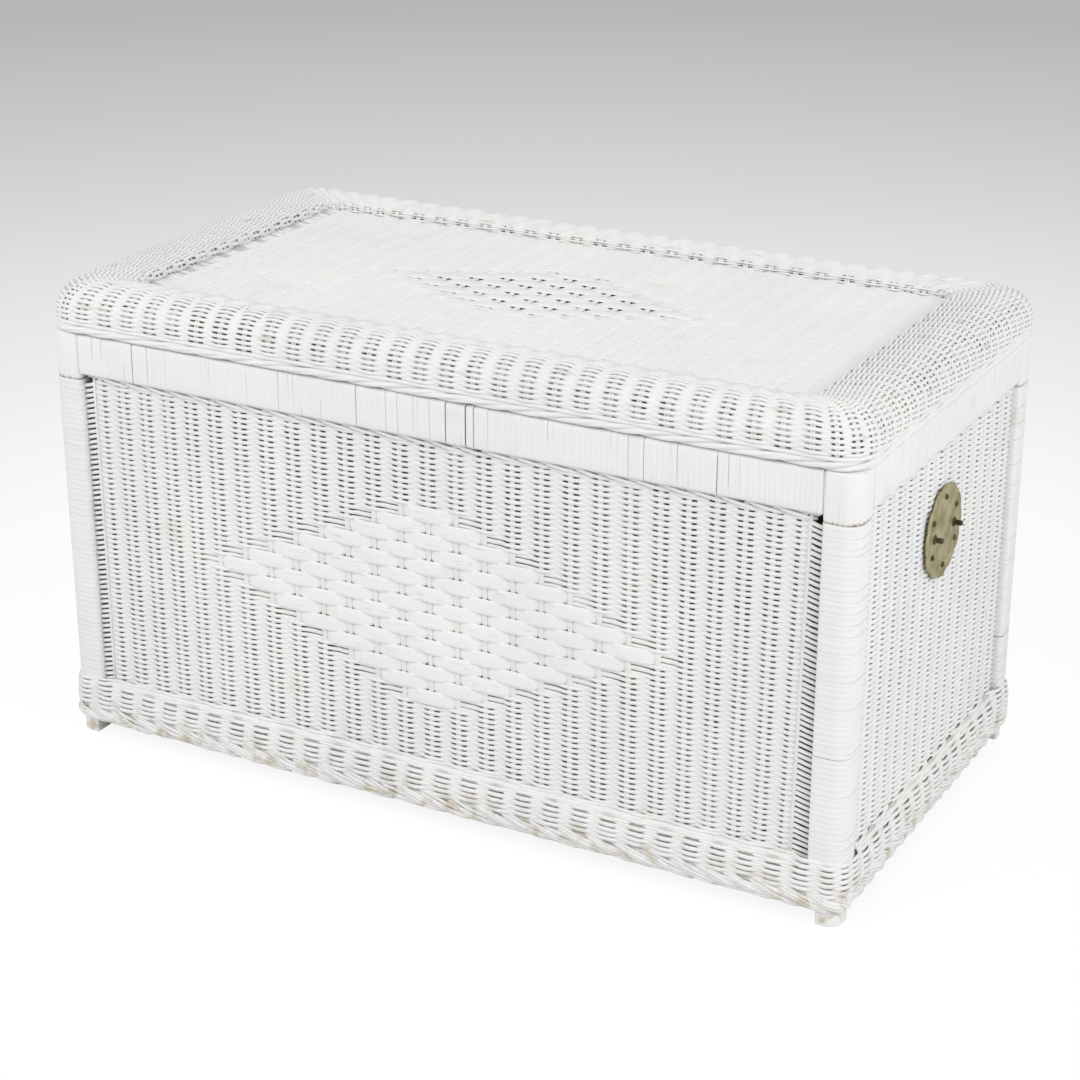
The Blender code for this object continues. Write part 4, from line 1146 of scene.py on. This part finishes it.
for row, at in enumerate(row_at):
    hs = rim_heights * (-1) ** row
    point, out = rim_point(rim_stations, at)
    past_crest = np.interp(at, length, past)
    beyond = smooth(0.0, 0.12, past_crest)
    point = point + out * (hs * RIM_LIFT * uneven(len(hs), 0.10, 0.75, 1.12))[:, None]
    local = RIM_ROW * (1 + beyond * (1 - on_end) * (narrowed - 1))
    tall_half = reed_height(hs, (0.69 - 0.07 * on_end + 0.08 * on_left) * local)
    faint = 1 - beyond * (1 - on_end) * 0.75 - 0.35 * on_end * smooth(0.70, 0.95, past_crest)
    faint = faint - 0.20 * on_end * (1 - beyond) + 0.20 * (on_end - on_left) * beyond
    near_crest = smooth(0.55, 0.90, at / crest_at) * (1 - on_end)
    patchy = 1 + 0.13 * np.sin(1.9 * rim_stations + 0.35 * row)
    patchy = patchy + 0.12 * np.sin(0.53 * rim_stations - 0.6 * row)
    # Painted shade and grime in the holes behind each stake
    depth = dice.uniform(0.42, 0.76, len(hs)) + 0.34 * np.maximum(on_end, by_corner)
    reach = 0.2 + 0.15 * np.maximum(near_crest, on_left)
    hole = smooth(-reach, 0.50, -hs) * depth * (1 + 0.2 * near_crest) * faint * patchy
    yellowed = np.sin(0.83 * rim_stations + 0.9) * math.cos(0.45 * (row - 6))
    yellowed = 0.3 * smooth(0.86, 1.0, yellowed)
    strands = rims[row * RIM_PIECES // RIM_ROWS]
    strands.add(point, out, tall_half, RIM_REED, hole, closed=True, worn=yellowed)
settle_parts(rims, "rim_weave", paint_x, "lid", "lid_rim")
rim_stakes = Strands()
across = np.linspace(0.0, length[-1], 18)
for side in (-0.05, 0.05):
    station = (np.arange(rim_total) + 0.5 + side)[:, None]
    rim_stakes.add(*rim_point(station, across[None]), RIM_STAKE, RIM_STAKE)
rim_stakes.settle("rim_stakes", paint_z, "lid")


def head(strands, place, axis, out, profile, radius):
    """A round head on its axis. profile gives (height, share of the radius)."""
    heights, shares = np.array(profile).T
    path = np.array(place) + heights[:, None] * np.array(axis)
    strands.add(path, np.array(out), shares * radius, shares * radius)


# End plates with a turned edge, lobed, and their tacks
PLATE_STEPS = 96
PLATE_LOBES = 12
LOBE = 0.0024
PLATE_DOME = 0.0006
PLATE_CENTRE = 0.02
# Across the plate's front: (share of the radius, height), then the shares on its flat back
PLATE_FRONT = (
    (0.0, PLATE_DOME),
    (0.35, PLATE_DOME * 0.9),
    (0.70, PLATE_DOME * 0.4),
    (0.88, -0.0001),
    (0.925, 0.0009),
    (0.965, 0.0008),
    (1.0, -0.0005),
)
PLATE_BACK = (0.99, 0.0)
TACKS = 6
TACK_RING = 0.0355
TACK_R = 0.0029
TACK_HEAD = ((-0.0006, 1.0), (0.0004, 1.0), (0.0014, 0.88), (0.0021, 0.55), (0.0024, 0.12))
HEAD_SIDES = 12
plate_centre = (plate_low + plate_high) / 2
plate_radius = (plate_high[2] - plate_low[2]) / 2
front_x = plate_high[0]
profile = [(share, front_x + rise) for share, rise in PLATE_FRONT]
profile += [(share, plate_low[0]) for share in PLATE_BACK]
turn = np.linspace(0, 2 * math.pi, PLATE_STEPS, endpoint=False)
lobed = plate_radius - LOBE + LOBE * np.abs(np.cos(PLATE_LOBES * turn / 2))
for side, sx in (("left", -1), ("right", 1)):
    skin = Skin()
    for share, x in profile:
        radius = lobed * max(share, PLATE_CENTRE)
        y = plate_centre[1] + radius * np.cos(turn)
        z = plate_centre[2] + radius * np.sin(turn)
        skin.ring(sx * x, y, z)
    skin.settle(f"end_plate_{side}", brass, f"handle_plate_{side}", slot="plate_brass")
    tacks = Strands(circle(HEAD_SIDES))
    for t in range(TACKS):
        angle = math.pi / 2 + t * 2 * math.pi / TACKS
        y = plate_centre[1] + TACK_RING * math.cos(angle)
        z = plate_centre[2] + TACK_RING * math.sin(angle)
        head(tacks, (sx * front_x, y, z), (sx, 0, 0), (0, 0, 1.0), TACK_HEAD, TACK_R)
    tacks.settle(f"plate_tacks_{side}", stud, "chest", slot="stud_brass")

# Hinge screws: three flush heads in each leaf
SCREW_R = 0.0027
LEAF_GAP = 0.0004
SCREW_PLACES = ((-0.020, 0.006), (0.0, 0.011), (0.020, 0.006))
SCREW_HEAD = ((-0.0004, 1.0), (0.00004, 1.0), (0.00012, 0.92), (0.00014, 0.1))
profile = [(rise - LEAF_GAP / 2, share) for rise, share in SCREW_HEAD]
for body, leaf, face in (("chest", "hinge_body_leaf_", 1), ("lid", "hinge_lid_leaf_", -1)):
    screws = Strands(circle(HEAD_SIDES))
    for side in ("left", "right"):
        low, high = ends_of(leaf + side)
        middle = (low + high) / 2
        for along, inward in SCREW_PLACES:
            place = (middle[0] + along, low[1] + inward, middle[2])
            head(screws, place, (0, 0, face), (0, 1.0, 0), profile, SCREW_R)
    screws.settle(f"hinge_screws_{body}", screw_steel, body, slot="hinge_steel")

# Finishes of the pieces that keep the frame's own shape
finishes = (
    (foot_paint, ("foot_", "corner_post_", "top_rail_", "bottom_rail_")),
    (board, ("floor_board",)),
    (frame_wood_y, ("floor_batten_", "lid_batten_", "lid_frame_left", "lid_frame_right")),
    (frame_wood_x, ("lid_frame_front", "lid_frame_back")),
    (stud, ("handle_stud_",)),
    (steel, ("hinge_",)),
)
for node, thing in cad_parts.items():
    for finish, starts in finishes:
        if node.startswith(starts):
            thing.data.materials.clear()
            thing.data.materials.append(finish)

# Floor: white by the object and greyer far off, mostly by its own glow to the camera
FLOOR_REACH = 14.0
FLOOR_SIDES = 64
FLOOR_FAR = 5.0
FLOOR_GLOW = 1.06
GLOW_SHARE = 0.84
# (distance from the middle, tone)
FLOOR_TONES = (
    (0.45, 1.0),
    (0.87, 0.967),
    (1.14, 0.91),
    (1.36, 0.853),
    (1.86, 0.762),
    (2.47, 0.645),
    (3.20, 0.545),
    (4.40, 0.430),
)
turn = np.linspace(0, 2 * math.pi, FLOOR_SIDES, endpoint=False)
floor_mesh = bpy.data.meshes.new("floor")
floor_rim = [(FLOOR_REACH * math.cos(t), FLOOR_REACH * math.sin(t), 0.0) for t in turn]
floor_mesh.from_pydata(floor_rim, [], [tuple(range(FLOOR_SIDES))])
floor = bpy.data.objects.new("floor", floor_mesh)
bpy.context.scene.collection.objects.link(floor)
ground, tree = blank("pale_floor")
shader = tree.nodes["Principled BSDF"]
matt = {"Base Color": (0.80, 0.80, 0.80, 1), "Roughness": 0.9, "Specular IOR Level": 0.0}
wired(tree, shader, matt)
far = new_node(tree, "ShaderNodeVectorMath", "Value", {0: place_of(tree)}, operation="LENGTH")
fade = new_node(tree, "ShaderNodeMapRange", "Result", {"Value": far, "From Max": FLOOR_FAR})
tone = ramp(tree, fade, *((far_off / FLOOR_FAR, (grey, grey, grey, 1)) for far_off, grey in FLOOR_TONES))
glow = new_node(tree, "ShaderNodeEmission", "Emission", {"Color": tone, "Strength": FLOOR_GLOW})
mixed = {"Fac": by_ray(tree, 0.0, GLOW_SHARE), 1: shader.outputs["BSDF"], 2: glow}
both = new_node(tree, "ShaderNodeMixShader", "Shader", mixed)
wired(tree, tree.nodes["Material Output"], {"Surface": both})
floor_mesh.materials.append(ground)

# The sky lights as white and is seen as grey as the far floor, so that no horizon shows
SKY_LIGHT = 0.64
SKY_SEEN = 0.468
world = bpy.data.worlds.new("studio")
bpy.context.scene.world = world
world.use_nodes = True
tree = world.node_tree
sky = {"Color": (1.0, 1.0, 1.0, 1), "Strength": by_ray(tree, SKY_LIGHT, SKY_SEEN)}
wired(tree, tree.nodes["Background"], sky)


def lamp(name, place, aim, size, power):
    data = bpy.data.lights.new(name, "AREA")
    data.shape = "DISK"
    data.size = size
    data.energy = power
    made = bpy.data.objects.new(name, data)
    bpy.context.scene.collection.objects.link(made)
    way = np.array(aim) - np.array(place)
    flat = math.hypot(way[0], way[1])
    made.location = place
    made.rotation_euler = (math.atan2(flat, -way[2]), 0, math.atan2(-way[0], way[1]))


MIDDLE = (0.0, 0.0, 0.25)
lamp("key", (-1.6, -2.6, 2.6), MIDDLE, size=2.2, power=49.0)
lamp("fill", (2.9, -0.9, 1.7), MIDDLE, size=2.0, power=39.0)

VIEW_PLACE = (1.1833, -2.1738, 1.2382)
VIEW_TURN = 28.597
VIEW_DOWN = 22.250
VIEW_LENS = 83.42
SENSOR = 36.0
eye = bpy.data.cameras.new("view")
eye.sensor_width = SENSOR
eye.lens = VIEW_LENS
camera = bpy.data.objects.new("view", eye)
camera.location = VIEW_PLACE
camera.rotation_euler = (math.radians(90 - VIEW_DOWN), 0, math.radians(VIEW_TURN))
bpy.context.scene.collection.objects.link(camera)
bpy.context.scene.camera = camera
bpy.context.scene.view_settings.view_transform = "Standard"
